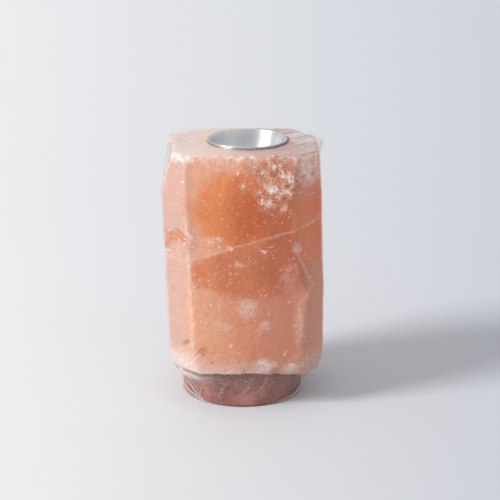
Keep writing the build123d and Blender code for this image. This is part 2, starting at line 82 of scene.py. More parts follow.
def addNode(tree, kind, *inOrder, byName=None, stops=None, out=None, **settings):
    # one node with its settings; its inputs in use, in order or by name, take a socket, a node's first output,
    # a constant or an sRGB hex colour; stops are a ramp's places with colours or grey levels
    kind, _, mode = kind.partition(".")
    made = tree.nodes.new("ShaderNode" + kind)
    if mode:
        setattr(made, modeSettings[kind], mode)
    for name, value in settings.items():
        setattr(made, name, value)
    inUse = [socket for socket in made.inputs if socket.enabled]
    named = [(made.inputs[name], value) for name, value in (byName or {}).items()]
    for socket, value in [*zip(inUse, inOrder), *named]:
        if isinstance(value, bpy.types.Node):
            value = next(output for output in value.outputs if output.enabled)
        if isinstance(value, bpy.types.NodeSocket):
            tree.links.new(value, socket)
        else:
            socket.default_value = linear(value) if isinstance(value, str) else value
    if stops:
        ramp = made.color_ramp
        while len(ramp.elements) < len(stops):
            ramp.elements.new(0.5)
        for element, (place, tone) in zip(ramp.elements, stops):
            element.position = place
            element.color = linear(tone) if isinstance(tone, str) else (tone, tone, tone, 1.0)
    return made.outputs[out] if out else made


def newMaterial(name):
    # an empty material, the function that adds nodes to it, and the coordinates of the piece that wears it
    material = bpy.data.materials.new(name)
    material.use_nodes = True
    material.node_tree.nodes.clear()
    node = functools.partial(addNode, material.node_tree)
    return material, node, node("TexCoord", out="Object")


def ballMask(node, coords, centre, reach):
    # 1 in the middle of an ellipsoid, in millimetres, falling straight to 0 at its surface
    place = node("Mapping", coords, byName={
        "Location": tuple(-c / r for c, r in zip(centre, reach)), "Scale": tuple(perMm(r) for r in reach)})
    return node("TexGradient.SPHERICAL", place, out="Fac")


def facingMirror(node, bumps, edgeShare, least):
    # mirror share by the fifth power of the facing, the same from inside and outside
    facing = node("LayerWeight", 0.5, bumps, out="Facing")
    return node("Math.MULTIPLY_ADD", node("Math.POWER", facing, 5.0), edgeShare, least)


weldGap = 1e-7
# a length that is divided by is never less than this
smallest = 1e-9


def addSurface(name, points, loopRows=False, marks=None, weld=False):
    # quads between neighbours of points[row, column], in millimetres; the columns go round, and the rows can too
    rows, columns = points.shape[:2]
    index = np.arange(rows * columns).reshape(rows, columns)
    index = np.concatenate([index, index[:, :1]], axis=1)
    if loopRows:
        index = np.concatenate([index, index[:1]], axis=0)
    quads = np.stack([index[:-1, :-1], index[:-1, 1:], index[1:, 1:], index[1:, :-1]], axis=-1).reshape(-1, 4)
    mesh = bpy.data.meshes.new(name)
    mesh.vertices.add(rows * columns)
    mesh.vertices.foreach_set("co", (points * mm).astype(np.float32).ravel())
    mesh.loops.add(quads.size)
    mesh.loops.foreach_set("vertex_index", quads.astype(np.int32).ravel())
    mesh.polygons.add(len(quads))
    mesh.polygons.foreach_set("loop_start", np.arange(0, quads.size, 4, dtype=np.int32))
    mesh.polygons.foreach_set("use_smooth", np.ones(len(quads), dtype=bool))
    mesh.update(calc_edges=True)
    for mark, values in (marks or {}).items():
        layer = mesh.attributes.new(mark, "FLOAT", "POINT")
        layer.data.foreach_set("value", values.astype(np.float32).ravel())
    if weld:
        work = bmesh.new()
        work.from_mesh(mesh)
        bmesh.ops.remove_doubles(work, verts=work.verts, dist=weldGap)
        bmesh.ops.dissolve_degenerate(work, edges=work.edges, dist=weldGap)
        work.to_mesh(mesh)
        work.free()
    made = bpy.data.objects.new(name, mesh)
    scene.collection.objects.link(made)
    return made


def gridNormals(points):
    # unit cross product of the central differences along the columns, which go round, and the rows
    across = np.roll(points, -1, axis=1) - np.roll(points, 1, axis=1)
    normals = np.cross(across, np.gradient(points, axis=0))
    return normals / np.maximum(np.linalg.norm(normals, axis=-1, keepdims=True), smallest)


rippleWaves = {"count": 28, "lengths": (0.7, 1.5)}


def ripple(points, size, seed):
    # plane waves of about that length in random directions, added up to a spread of about one
    rng = np.random.default_rng(seed)
    waves = rippleWaves["count"]
    ways = rng.normal(size=(waves, 3))
    ways /= np.linalg.norm(ways, axis=1, keepdims=True)
    rates = 2 * np.pi / (size * rng.uniform(*rippleWaves["lengths"], waves))
    turns = rng.uniform(0, 2 * np.pi, waves)
    total = np.zeros(points.shape[:-1])
    for way, rate, turn in zip(ways, rates, turns):
        total += np.cos(points @ way * rate + turn)
    return total * math.sqrt(2 / waves)


def ripples(points, waves):
    # a sum of ripples, each with its height, length and seed
    return sum(height * ripple(points, size, seed) for height, size, seed in waves)


def smoothStep(low, high, values):
    # 0 below low, 1 above high, with a smooth cubic between
    t = np.clip((values - low) / (high - low), 0, 1)
    return t * t * (3 - 2 * t)


def bell(offset, width):
    # 1 in the middle and 1/e at that width
    return np.exp(-(offset / width) ** 2)


def turnGap(turns, start):
    # degrees from start to each turn, the short way round
    return (turns - start + 180) % 360 - 180


def nearSegment(fromX, fromY, runX, runY):
    # share along a straight run from its start, and the distance from it
    t = np.clip((fromX * runX + fromY * runY) / (runX ** 2 + runY ** 2), 0, 1)
    return t, np.hypot(fromX - t * runX, fromY - t * runY)


def heading(turn):
    # unit way in the ground plane
    return np.array([math.cos(turn), math.sin(turn)])


# The block's eight faces: how far left, right, front and back stand from the axis at each level,
# and the cuts of its four corners, front left, front right, back right and back left
blockShape = {
    "levels": (28.5, 36.5, 94.5, 163.0, 190.5, 192.0),
    "low": (53.5, 59.6, 50.0, 49.0, 18.5, 15.6, 25.0, 22.0),
    "mid": (55.5, 59.2, 50.5, 49.5, 18.0, 9.2, 25.0, 22.0),
    "high": (58.0, 57.1, 51.0, 49.5, 17.5, 18.1, 25.0, 22.0),
    "top": (50.5, 55.3, 47.0, 42.0, 9.5, 15.8, 21.0, 17.0),
    # how far each face runs in at the foot, from the right face round by the back, and the height of that
    "footBevel": (3.5, 3.5, 2.5, 3.5, 3.5, 2.6, 0.6, 1.8),
    "footRun": 14.0,
    "crownBevel": 1.5,
    # the levels are softened by a bell: its reach, steps and width, and the heights between which it works
    "softening": (5.0, 9, 2.5),
    "softBetween": (44.0, 183.0),
    # the hewn front-right edge swings out to its widest near 96 mm: height and corner cut
    "frontRightEdge": (
        (36.5, 15.8), (55.0, 15.5), (85.0, 12.0), (96.0, 9.2),
        (112.0, 14.8), (124.0, 20.0), (163.0, 19.5), (190.5, 17.0)),
    # a face bounds a direction only if it looks that way by at least this cosine
    "leastFacing": 0.05,
}
faceAngles = np.radians(np.arange(8) * 45.0)
rightFace, frontFace, frontRightFace = 0, 6, 7


def faceReach(sides):
    # distance of the eight faces from the axis; a cut corner's face is at (a + b - cut) / root 2
    left, right, front, back, frontLeft, frontRight, backRight, backLeft = sides
    half = math.sqrt(0.5)
    return np.array([
        right, (right + back - backRight) * half, back, (left + back - backLeft) * half,
        left, (left + front - frontLeft) * half, front, (right + front - frontRight) * half,
    ])


def outlineRadius(reach, angles, sharpness):
    # the nearest face along each direction, by a power mean that rounds the edges between faces
    facing = np.cos(angles[..., None] - faceAngles)
    inverse = np.where(facing > blockShape["leastFacing"], facing, 0) / reach
    return (inverse ** sharpness).sum(axis=-1) ** (-1 / sharpness)


def saltFaces(heights):
    # face distances at those heights, straight between the levels and then softened
    shape = blockShape
    low, mid, high, top = (faceReach(shape[name]) for name in ("low", "mid", "high", "top"))
    table = np.array([low - np.array(shape["footBevel"]), low, mid, high, top, top - shape["crownBevel"]])
    softReach, softSteps, softWidth = shape["softening"]
    softLow, softHigh = shape["softBetween"]
    spread = np.linspace(-softReach, softReach, softSteps)
    weights = bell(spread, softWidth)
    weights /= weights.sum()
    reach = np.zeros((len(heights), 8))
    for shift, weight in zip(spread, weights):
        moved = np.where((heights > softLow) & (heights < softHigh), heights + shift, heights)
        reach += weight * np.stack([np.interp(moved, shape["levels"], face) for face in table.T], axis=-1)
    # the foot runs in by a square curve instead of the flat bevel
    bottom, bevelTop, _, _, crown, _ = shape["levels"]
    flatBevel = np.clip((bevelTop - heights) / (bevelTop - bottom), 0, 1)
    roundBevel = np.clip((bottom + shape["footRun"] - heights) / shape["footRun"], 0, 1) ** 2
    reach += (flatBevel - roundBevel)[:, None] * np.array(shape["footBevel"])
    edgeCuts = np.interp(heights, *np.array(shape["frontRightEdge"]).T)
    edgeReach = (reach[:, rightFace] + reach[:, frontFace] - edgeCuts) * math.sqrt(0.5)
    edgeReach = np.where((heights > bevelTop) & (heights < crown), edgeReach, np.inf)
    reach[:, frontRightFace] = np.minimum(reach[:, frontRightFace], edgeReach)
    return reach


saltPiece = {
    "columns": 420,
    "inset": 0.35,
    "edgeSharpness": 130.0,
    # the bulb's bore: radius, rows, and how far under the recess's floor it ends
    "bore": (24.0, 10, 0.5),
    # the dish's recess: axis, radius and floor, shares of the step out to it, and heights up its wall
    "recess": (3.7, 28.2, 177.0),
    "recessSteps": (0.15, 0.5, 0.98),
    "recessLevels": (178.5, 182.0, 186.0, 189.5, 191.2),
    # the top falls a little to its rounded edge: level, fall, rows, and how far it starts from the recess;
    # the rounded edge: level, radius, and turns of its rows in degrees
    "top": (191.9, 0.1, 17, 0.7),
    "crown": (190.5, 1.3, (25.0, 50.0, 75.0)),
    # rows of the sides: first and last height, and count
    "sideRows": ((190.4, 43.0, 160), (42.2, 28.7, 17)),
    # the underside: level, inset, and shares of the way in to the bore
    "under": (28.55, 0.3, (0.02, 0.98, 9)),
    # rows above and below the sides that are chipped too, and the shares over which that fades out
    "looseRows": (12, 2),
    "looseFade": (0.1, 0.9, 5),
    "edgeChips": {
        "count": 70, "heights": (34, 188), "wander": 0.3, "tilt": 0.25, "balls": (3, 12), "depths": (0.2, 0.65)},
    "rimChips": (
        {"count": 46, "height": 191.8, "rise": 0.9, "tilt": 0.25, "balls": (4, 9), "depths": (0.1, 0.6)},
        {"count": 18, "height": 32.0, "rise": -0.6, "tilt": 0.25, "balls": (4, 9), "depths": (0.1, 0.3)}),
    # the corner faces are narrower, so their flakes stay nearer to the middle by a share
    "faceChips": {
        "count": 26, "heights": (40, 184), "aside": 26, "cornerLess": 0.6, "balls": (60, 160), "depths": (0.1, 0.3)},
    # the shell-shaped chip on the top's back-right corner
    "cornerChip": ((48.0, 30.0, 192.0), (0.85, 0.53, 0.2), 30.0, 4.6),
    "seed": 11,
    # the porous corner, its ragged edge, and the field whose peaks are pits and whose hollows are crystals
    "pitCentre": (23.0, -50.0, 173.5),
    "pitReach": (17.5, 14.0, 22.0),
    "pitEdge": ((0.16, 11.0, 31), 1.3, 0.5),
    "pitWaves": ((1.0, 4.2, 32), (0.6, 2.8, 33)),
    "pitRange": (0.4, 1.7),
    "pitDepth": 0.8,
    "crystalRange": (0.3, 1.4),
    "crystalHeight": 0.4,
    "grainWaves": ((0.06, 4.5, 37), (0.05, 2.4, 38)),
    "hollows": (0.18, 17.0, 39),
    # the overhanging rim droops a little past the base's top: waves, droop, heights and distances from the axis
    "footWaves": ((0.65, 55.0, 40), (0.18, 16.0, 41)),
    "footDroop": (0.9, (33.0, 29.0), (46.2, 48.6)),
}


def bite(points, centre, radius, strength):
    # points inside the ball move straight out to its surface, which leaves a shell-shaped chip
    away = points - centre
    distance = np.maximum(np.linalg.norm(away, axis=-1, keepdims=True), smallest)
    push = np.maximum(radius - distance, 0) * strength[..., None]
    return points + away / distance * push


def saltGrid():
    # closed grid: columns go round the axis, rows go up the bore, out over the recess and the top,
    # down the hewn sides and back in under the foot; the second result is how freely each point is chipped
    s = saltPiece
    angles = np.linspace(0, 2 * np.pi, s["columns"], endpoint=False)
    circle = np.stack([np.cos(angles), np.sin(angles)], axis=-1)
    offset, recessRadius, recessFloor = s["recess"]
    heights = np.concatenate([np.linspace(*run) for run in s["sideRows"]])
    reach = outlineRadius(saltFaces(heights)[:, None, :] - s["inset"], angles[None, :], s["edgeSharpness"])[..., None]
    boreRadius, boreRows, boreEnd = s["bore"]
    bore = circle * boreRadius
    recess = circle * recessRadius + np.array([offset, 0])
    topLevel, topFall, topRows, topStart = s["top"]
    crownLevel, crownRadius, crownTurns = s["crown"]
    underLevel, underInset, underSteps = s["under"]
    rings = [(bore, height) for height in np.linspace(heights[-1], recessFloor - boreEnd, boreRows)]
    rings += [(bore * (1 - share) + recess * share, recessFloor) for share in s["recessSteps"]]
    rings += [(recess, height) for height in s["recessLevels"]]
    for share in np.linspace(0, 1, topRows):
        ring = (recess + circle * topStart) * (1 - share) + circle * (reach[0] - crownRadius) * share
        rings.append((ring, topLevel - topFall * share))
    for turn in np.radians(crownTurns):
        ring = circle * (reach[0] - crownRadius * (1 - math.sin(turn)))
        rings.append((ring, crownLevel + crownRadius * math.cos(turn)))
    sideStart = len(rings)
    rings += [(circle * out, height) for height, out in zip(heights, reach)]
    sideEnd = len(rings)
    for share in np.linspace(*underSteps):
        rings.append((circle * (reach[-1] - underInset) * (1 - share) + bore * share, underLevel))
    points = np.stack([np.concatenate([ring, np.full((s["columns"], 1), height)], axis=1) for ring, height in rings])
    above, below = s["looseRows"]
    fade = np.linspace(*s["looseFade"])[:, None]
    loose = np.zeros(points.shape[:2])
    loose[sideStart - above:sideEnd + below] = 1
    loose[sideStart - above - len(fade):sideStart - above] = fade
    return points, loose


def saltChips():
    # chips along the upright edges, round the crown and the foot, and shallow flakes off the faces:
    # place, way out, radius of the ball that bites and depth
    s = saltPiece
    rng = np.random.default_rng(s["seed"])
    chips = []
    kind = s["edgeChips"]
    for _ in range(kind["count"]):
        face, height = rng.integers(8), rng.uniform(*kind["heights"])
        near, far = saltFaces(np.array([height]))[0][[face, (face + 1) % 8]] - s["inset"]
        turn = faceAngles[face] + math.atan2(far / near - math.cos(math.pi / 4), math.sin(math.pi / 4))
        place = near / math.cos(turn - faceAngles[face]) * heading(turn)
        way = faceAngles[face] + math.pi / 8 + rng.normal(0, kind["wander"])
        ball, depth = rng.uniform(*kind["balls"]), rng.uniform(*kind["depths"])
        outward = np.array([*heading(way), rng.normal(0, kind["tilt"])])
        chips.append((np.array([*place, height]), outward, ball, depth))
    for kind in s["rimChips"]:
        for _ in range(kind["count"]):
            turn = rng.uniform(0, 2 * np.pi)
            faces = saltFaces(np.array([kind["height"]]))[0] - s["inset"]
            reach = outlineRadius(faces, np.array([turn]), s["edgeSharpness"])[0]
            place = np.array([*heading(turn) * reach, kind["height"]])
            outward = np.array([*heading(turn), kind["rise"] + rng.normal(0, kind["tilt"])])
            chips.append((place, outward, rng.uniform(*kind["balls"]), rng.uniform(*kind["depths"])))
    kind = s["faceChips"]
    for _ in range(kind["count"]):
        face, height = rng.integers(8), rng.uniform(*kind["heights"])
        reach = saltFaces(np.array([height]))[0][face] - s["inset"]
        outward = np.array([*heading(faceAngles[face]), 0.0])
        shift = rng.uniform(-kind["aside"], kind["aside"]) * (1 - kind["cornerLess"] * (face % 2))
        sideways = np.array([-outward[1], outward[0], 0.0]) * shift
        place = outward * reach + sideways + np.array([0, 0, height])
        chips.append((place, outward, rng.uniform(*kind["balls"]), rng.uniform(*kind["depths"])))
    place, outward, ball, depth = s["cornerChip"]
    return chips + [(np.array(place), np.array(outward), ball, depth)]


# where the salt is frosted, pale, darker or cracked; a pair is where a mark starts and where it is full
saltMarking = {
    # frost on the edges: width, the wave that breaks it up with its range and least, and less at the front right
    "edgeWidth": 0.9,
    "edgeBreaks": ((1.0, 24.0, 44), (-0.7, 0.9), 0.3),
    "frontRight": ((10.0, 30.0), (-20.0, -35.0), 0.8),
    # frost along the crown: level, width and least distance from the axis
    "crown": (190.4, 2.4, 44.0),
    "leftward": (-20.0, -45.0),
    "rightward": (30.0, 52.0),
    "leftFoot": ((46.0, 31.0), (10.0, -15.0), 0.75),
    "rightFoot": ((34.0, 50.0), (50.0, 31.0)),
    "flatTop": ((190.4, 191.6), 0.78),
    # pale foot: strength and what the left adds, height and what the left and the right add, bottom and power
    "foot": ((0.74, 0.22), (44.0, 10.0, 5.0), 28.5, 1.3),
    # the darker patch on the front-left face: its slanting top, how sharp that is, and how it fades down and aside
    "patchTop": ((-60.0, 127.0), (-54.0, 132.0), (-45.5, 139.0), (-41.5, 136.0), (-36.0, 132.0)),
    "patchEdge": 0.7,
    "patchFade": (13.0, 5.0),
    "patchAside": ((-37.0, -39.0), (-6.0, -22.0)),
    # the crack down the front-right edge, a broken line as seen from the front
    "crack": ((37.4, 126.0), (41.5, 118.0), (51.0, 95.5), (44.0, 86.0), (41.0, 82.0), (43.0, 73.0), (43.5, 58.0)),
    "crackWidth": 0.8,
    "crackFront": (-15.0, -25.0),
    # the porous corner's white clumps: place and half-widths across and up
    "clumps": (
        ((28.5, 187.0), (4.5, 4.0)), ((31.0, 179.0), (4.5, 4.0)),
        ((24.5, 168.5), (5.5, 3.8)), ((18.0, 159.0), (4.0, 2.5))),
}


def saltMarks(points, loose, porous):
    # what the material reads from the mesh, each from 0 to 1
    m = saltMarking
    x, y, heights = points[..., 0], points[..., 1], points[..., 2]
    # frost: strong where two faces are nearly the same distance away, and along the crown and foot
    facing = np.stack([np.cos(faceAngles), np.sin(faceAngles)])
    gaps = np.sort(saltFaces(heights.ravel()).reshape(*heights.shape, 8) - points[..., :2] @ facing, axis=-1)
    breaks, breakRange, leastEdge = m["edgeBreaks"]
    frontX, frontY, frontLoss = m["frontRight"]
    edge = bell(gaps[..., 1] - gaps[..., 0], m["edgeWidth"])
    edge = edge * (1 - frontLoss * smoothStep(*frontX, x) * smoothStep(*frontY, y))
    edge = edge * (leastEdge + (1 - leastEdge) * smoothStep(*breakRange, ripples(points, [breaks])))
    crownLevel, crownWidth, crownFrom = m["crown"]
    crown = bell(heights - crownLevel, crownWidth) * (np.linalg.norm(points[..., :2], axis=-1) > crownFrom)
    leftward, rightward = (smoothStep(*m[name], x) for name in ("leftward", "rightward"))
    leftHeights, leftY, leftStrength = m["leftFoot"]
    leftFoot = leftStrength * leftward * smoothStep(*leftHeights, heights) * smoothStep(*leftY, y)
    rightX, rightHeights = m["rightFoot"]
    rightFoot = smoothStep(*rightX, x) * smoothStep(*rightHeights, heights)
    frost = np.clip(np.maximum.reduce([edge, crown, leftFoot, rightFoot]), 0, 1) * loose
    topRange, topStrength = m["flatTop"]
    (footStrength, footLeft), (footTop, riseLeft, riseRight), footBottom, footPower = m["foot"]
    footHeights = smoothStep(footTop + riseLeft * leftward + riseRight * rightward, footBottom, heights)
    foot = (footStrength + footLeft * leftward) * footHeights ** footPower
    patchTop = np.interp(x, *np.array(m["patchTop"]).T)
    patchX, patchY = m["patchAside"]
    patchGone, patchFull = m["patchFade"]
    patch = smoothStep(patchTop + m["patchEdge"], patchTop - m["patchEdge"], heights)
    patch = patch * smoothStep(patchTop - patchGone, patchTop - patchFull, heights)
    patch = patch * smoothStep(*patchX, x) * smoothStep(*patchY, y)
    crack = np.zeros_like(x)
    for (startX, startZ), (endX, endZ) in zip(m["crack"][:-1], m["crack"][1:]):
        _, away = nearSegment(x - startX, heights - startZ, endX - startX, endZ - startZ)
        crack = np.maximum(crack, bell(away, m["crackWidth"]))
    clump = np.zeros_like(x)
    for (placeX, placeZ), (wide, high) in m["clumps"]:
        clump = np.maximum(clump, bell(x - placeX, wide) * bell(heights - placeZ, high) * porous)
    crack = crack * smoothStep(*m["crackFront"], y)
    crust = np.maximum(topStrength * smoothStep(*topRange, heights), foot * loose)
    return {"frost": frost, "crust": crust, "patch": patch, "crack": crack, "clump": clump}


def makeSalt():
    # the grid is chipped, then roughened along its normals by grain, pits and crystals, and its rim droops
    s = saltPiece
    points, loose = saltGrid()
    for place, outward, ball, depth in saltChips():
        outward = outward / np.linalg.norm(outward)
        points = bite(points, place + outward * (ball - depth), ball, loose)
    edgeWave, outside, inside = s["pitEdge"]
    pitSpace = (points - np.array(s["pitCentre"])) / np.array(s["pitReach"])
    porous = smoothStep(outside, inside, np.linalg.norm(pitSpace, axis=-1) + ripples(points, [edgeWave])) * loose
    pitField = ripples(points, s["pitWaves"])
    pit = smoothStep(*s["pitRange"], pitField) * porous
    crystal = smoothStep(*s["crystalRange"], -pitField) * porous
    height = ripples(points, s["grainWaves"]) - np.abs(ripples(points, [s["hollows"]]))
    height += crystal * s["crystalHeight"] - pit * s["pitDepth"]
    points = points + gridNormals(points) * (height * loose)[..., None]
    droop, droopHeights, droopReach = s["footDroop"]
    fromAxis = np.linalg.norm(points[..., :2], axis=-1)
    rim = smoothStep(*droopHeights, points[..., 2]) * smoothStep(*droopReach, fromAxis)
    points[..., 2] += (ripples(points, s["footWaves"]) - droop) * rim
    return addSurface("saltBody", points, loopRows=True, marks={
        **saltMarks(points, loose, porous), "porous": porous, "pit": pit})


# A range is two values read and the two that they become, which are 0 and 1 if left out
saltLook = {
    # noise patterns: scale, detail and, where it isn't the usual one, roughness
    "warp": (perMm(30.0), 4.0),
    "cloudy": (perMm(22.0), 6.0, 0.6),
    "wisps": (perMm(4.0), 8.0, 0.75),
    "mottle": (perMm(7.0), 5.0, 0.65),
    "sugar": (perMm(1.3), 3.0),
    "lumps": (perMm(6.0), 7.0, 0.72),
    "raggedness": (perMm(14.0), 3.0),
    "crowding": (perMm(13.0), 4.0),
    "jitter": (perMm(1.3), 2.0),
    "warpBy": (10.0 * mm,) * 3,
    # body colour from left to right through the block: place in millimetres and colour; besides the salt's own pinks
    # and oranges, its paling to the left and darkening to the right are painted light and shade of the key light from
    # the left passing through the salt, and its lighter far right is a painted glow of that light
    "width": (-60.0, 60.0),
    "body": (
        (-60, "d4aa9c"), (-44, "d9ac9b"), (-38, "dcaa94"), (-32, "f4b48e"), (-5, "e49670"), (15, "d48866"),
        (34, "cc8060"), (60, "d8977d")),
    # how far the clouds move those places: gain and offset
    "drift": (0.14, -0.07),
    # the pale crust of the top and the foot, in the same way; its greying and darkening to the right is painted shade
    # on the side away from the key light
    "crust": ((-50, "eedcd4"), (-10, "e2cdc5"), (30, "ad958d"), (60, "b49c94")),
    "crustPatches": (0.3, 0.7, 0.7, 1.0),
    # clear depths: centre and half-sizes in millimetres, colour, strength, whether only below the vein, and softness
    "zones": (
        ((-5.0, -52.0, 153.0), (40.0, 40.0, 37.0), "ee8f4a", 0.95, False, 0.42),
        ((12.0, -52.0, 149.0), (40.0, 32.0, 42.0), "cb5c04", 0.95, False, 0.75),
        ((33.0, -50.0, 140.0), (26.0, 30.0, 34.0), "c06026", 0.9, False, 0.6),
        ((-18.0, -52.0, 110.0), (22.5, 26.0, 22.0), "e88a50", 0.9, True, 0.28),
        ((8.0, -52.0, 107.0), (38.0, 28.0, 25.0), "d47642", 0.9, True, 0.36),
        ((28.0, -50.0, 110.0), (28.0, 28.0, 27.0), "bc5e30", 0.85, True, 0.65),
        ((58.0, -20.0, 140.0), (24.0, 44.0, 50.0), "e4783e", 0.85, False, 0.5),
        ((45.0, -44.0, 140.0), (12.0, 14.0, 44.0), "ea8450", 0.8, False, 0.5),
        ((10.0, 52.0, 130.0), (60.0, 30.0, 48.0), "d97636", 0.85, False, 0.5),
        ((0.0, 52.0, 70.0), (50.0, 30.0, 34.0), "c76a40", 0.8, True, 0.4),
        ((-56.0, 20.0, 90.0), (20.0, 36.0, 40.0), "d48a66", 0.6, False, 0.5),
    ),
    # their ragged edges: how much the pattern adds, and where an edge starts
    "ragged": (0.5, 0.3),
    # wisps just under the surface, most of them white: centre, half-sizes, strength and colour
    "clouds": (
        ((2.3, -50.0, 79.0), (10.0, 12.0, 11.5), 0.55, "f0dad0"),
        ((15.9, -50.0, 66.0), (6.5, 10.0, 5.5), 0.5, "efd8ce"),
        ((-15.0, -50.0, 66.5), (11.0, 12.0, 4.5), 0.5, "efd8ce"),
        ((17.3, -50.0, 34.0), (12.5, 12.0, 9.0), 0.75, "f4e6e0"),
        ((34.3, -50.0, 32.0), (7.0, 12.0, 5.5), 0.8, "f6eae6"),
        ((-2.8, -50.0, 113.7), (4.0, 8.0, 4.5), 0.5, "f3dcd0"),
        ((-23.0, -50.0, 131.5), (10.0, 10.0, 5.0), 0.35, "f3d8ca"),
        ((38.5, -49.0, 125.0), (5.0, 10.0, 6.0), 0.45, "f6e2da"),
        ((-39.0, -48.0, 132.5), (4.0, 8.0, 4.5), 0.95, "f6e2da"),
        ((33.0, -50.0, 104.0), (11.0, 12.0, 14.0), 0.3, "eec4b0"),
        ((49.0, -40.0, 184.0), (17.0, 24.0, 21.0), 0.8, "ffe8dc"),
        ((42.0, -47.0, 66.0), (8.0, 14.0, 24.0), 0.4, "f0cab8"),
        ((-8.0, -50.0, 185.0), (32.0, 12.0, 9.0), 0.4, "f4d6c6"),
        ((-44.0, -44.0, 190.0), (13.0, 14.0, 6.0), 0.8, "fbf0ea"),
        ((7.5, -50.0, 88.5), (5.0, 8.0, 3.0), 0.5, "b8704e"),
        ((28.0, -50.0, 91.5), (6.0, 8.0, 3.0), 0.45, "b06a48"),
        ((-33.0, -49.0, 94.5), (3.0, 8.0, 4.0), 0.5, "b8704a"),
        ((18.0, 50.0, 58.0), (26.0, 14.0, 9.0), 0.4, "efd8ce"),
        ((-30.0, 44.0, 150.0), (14.0, 16.0, 24.0), 0.4, "efd8ce"),
        ((58.0, 4.0, 70.0), (12.0, 22.0, 9.0), 0.4, "efd8ce"),
        ((-56.0, 10.0, 160.0), (12.0, 12.0, 18.0), 0.4, "efd8ce"),
    ),
    "feathers": (0.36, 0.64),
    "cloudEdge": (0.05, 0.45),
    # the white vein is a plane through the block: its normal, and its distance and widths in metres
    "veinWay": (-0.262, 0.04, 0.960),
    "veinPlace": 0.1208,
    "belowVein": (0.001, -0.002),
    "veinWidth": (0.0016, 0.0002),
    "veinGaps": (0.38, 0.62, 0.08, 0.6),
    "veinTone": "eac6b5",
    # marks that follow the shape: strength and colour
    "drawn": (("patch", 0.85, "d2855c"), ("crack", 0.32, "f0d0c0")),
    "glints": (0.3, 0.7, 0.93, 1.05),
    # flecks: cell in millimetres, size and rarity, and colour
    "flecks": (
        (1.6, 0.21, 1.34, "f6e6dc"), (3.0, 0.15, 1.42, "f6e6dc"),
        (6.5, 0.13, 1.36, "faeee6"), (8.5, 0.08, 1.38, "a8603c")),
    # shares of that size where a fleck ends and where it is full, and how small it can be
    "fleckEdge": (1.5, 0.6),
    "fleckLeast": 0.45,
    "shakeMm": 3.0,
    # how crowded the flecks are: by place, from left to right, and from 30 mm, the foot, to 190 mm, the crown
    "crowd": (0.4, 0.64, 0.05, 0.85),
    "crowdRight": -2.2,
    "fleckHeights": (0.03, 0.19),
    "fleckLevels": ((0.0, 0.0), (0.22, 0.06), (0.45, 0.26), (0.62, 0.34), (0.8, 0.22), (1.0, 0.16)),
    # where flecks gather on the front, and flakes with them: place across and height, and half-sizes
    "gatherings": (
        ((-24.0, 131.0), (9.0, 5.0)), ((-17.0, 132.5), (10.0, 5.0)), ((-9.0, 125.0), (8.0, 7.0)),
        ((16.0, 123.5), (10.0, 8.0)), ((6.0, 117.5), (8.0, 7.0)), ((-20.0, 104.5), (9.0, 9.0)),
        ((-10.0, 108.5), (5.0, 10.0)), ((-7.0, 98.5), (6.0, 5.0)), ((32.0, 94.0), (6.0, 4.0))),
    "gatherFront": (-50.0, 40.0),
    "gatherBy": 0.45,
    "flakeBy": 0.2,
    "flakes": (0.69, 0.75, 0.0, 0.66),
    "flakeTone": "f6e6dc",
    "frostGaps": (0.42, 0.66, 0.1, 0.75),
    "frostTone": "f4e2d9",
    "clumpBy": 0.14,
    "white": (0.54, 0.62),
    "edgeTone": "f8ece6",
    # porous corner: cells, shake and size range of its holes, and strength and colour of its five layers; the holes'
    # dark brown is painted shade inside them
    "holeMm": 2.4,
    "holeShakeMm": 2.0,
    "holeSizes": (0.45, 1.0, 0.0, 0.5),
    "holeEdge": (-0.06, 0.16),
    "crumbs": (0.5, 0.58),
    "porousLayers": ((0.6, "c87848"), (0.5, "b4683e"), (0.5, "ecccba"), (0.9, "f5e4dc"), (0.7, "8a4c2e")),
    "roughness": (0.3, 0.7, 0.42, 0.62),
    "porousRelief": 5.0,
    "bump": {"Strength": 0.35, "Distance": 0.0004},
    "crystal": {
        "IOR": 1.54, "Subsurface Weight": 0.55, "Subsurface Radius": (1.0, 0.45, 0.25), "Subsurface Scale": 8.0 * mm},
}


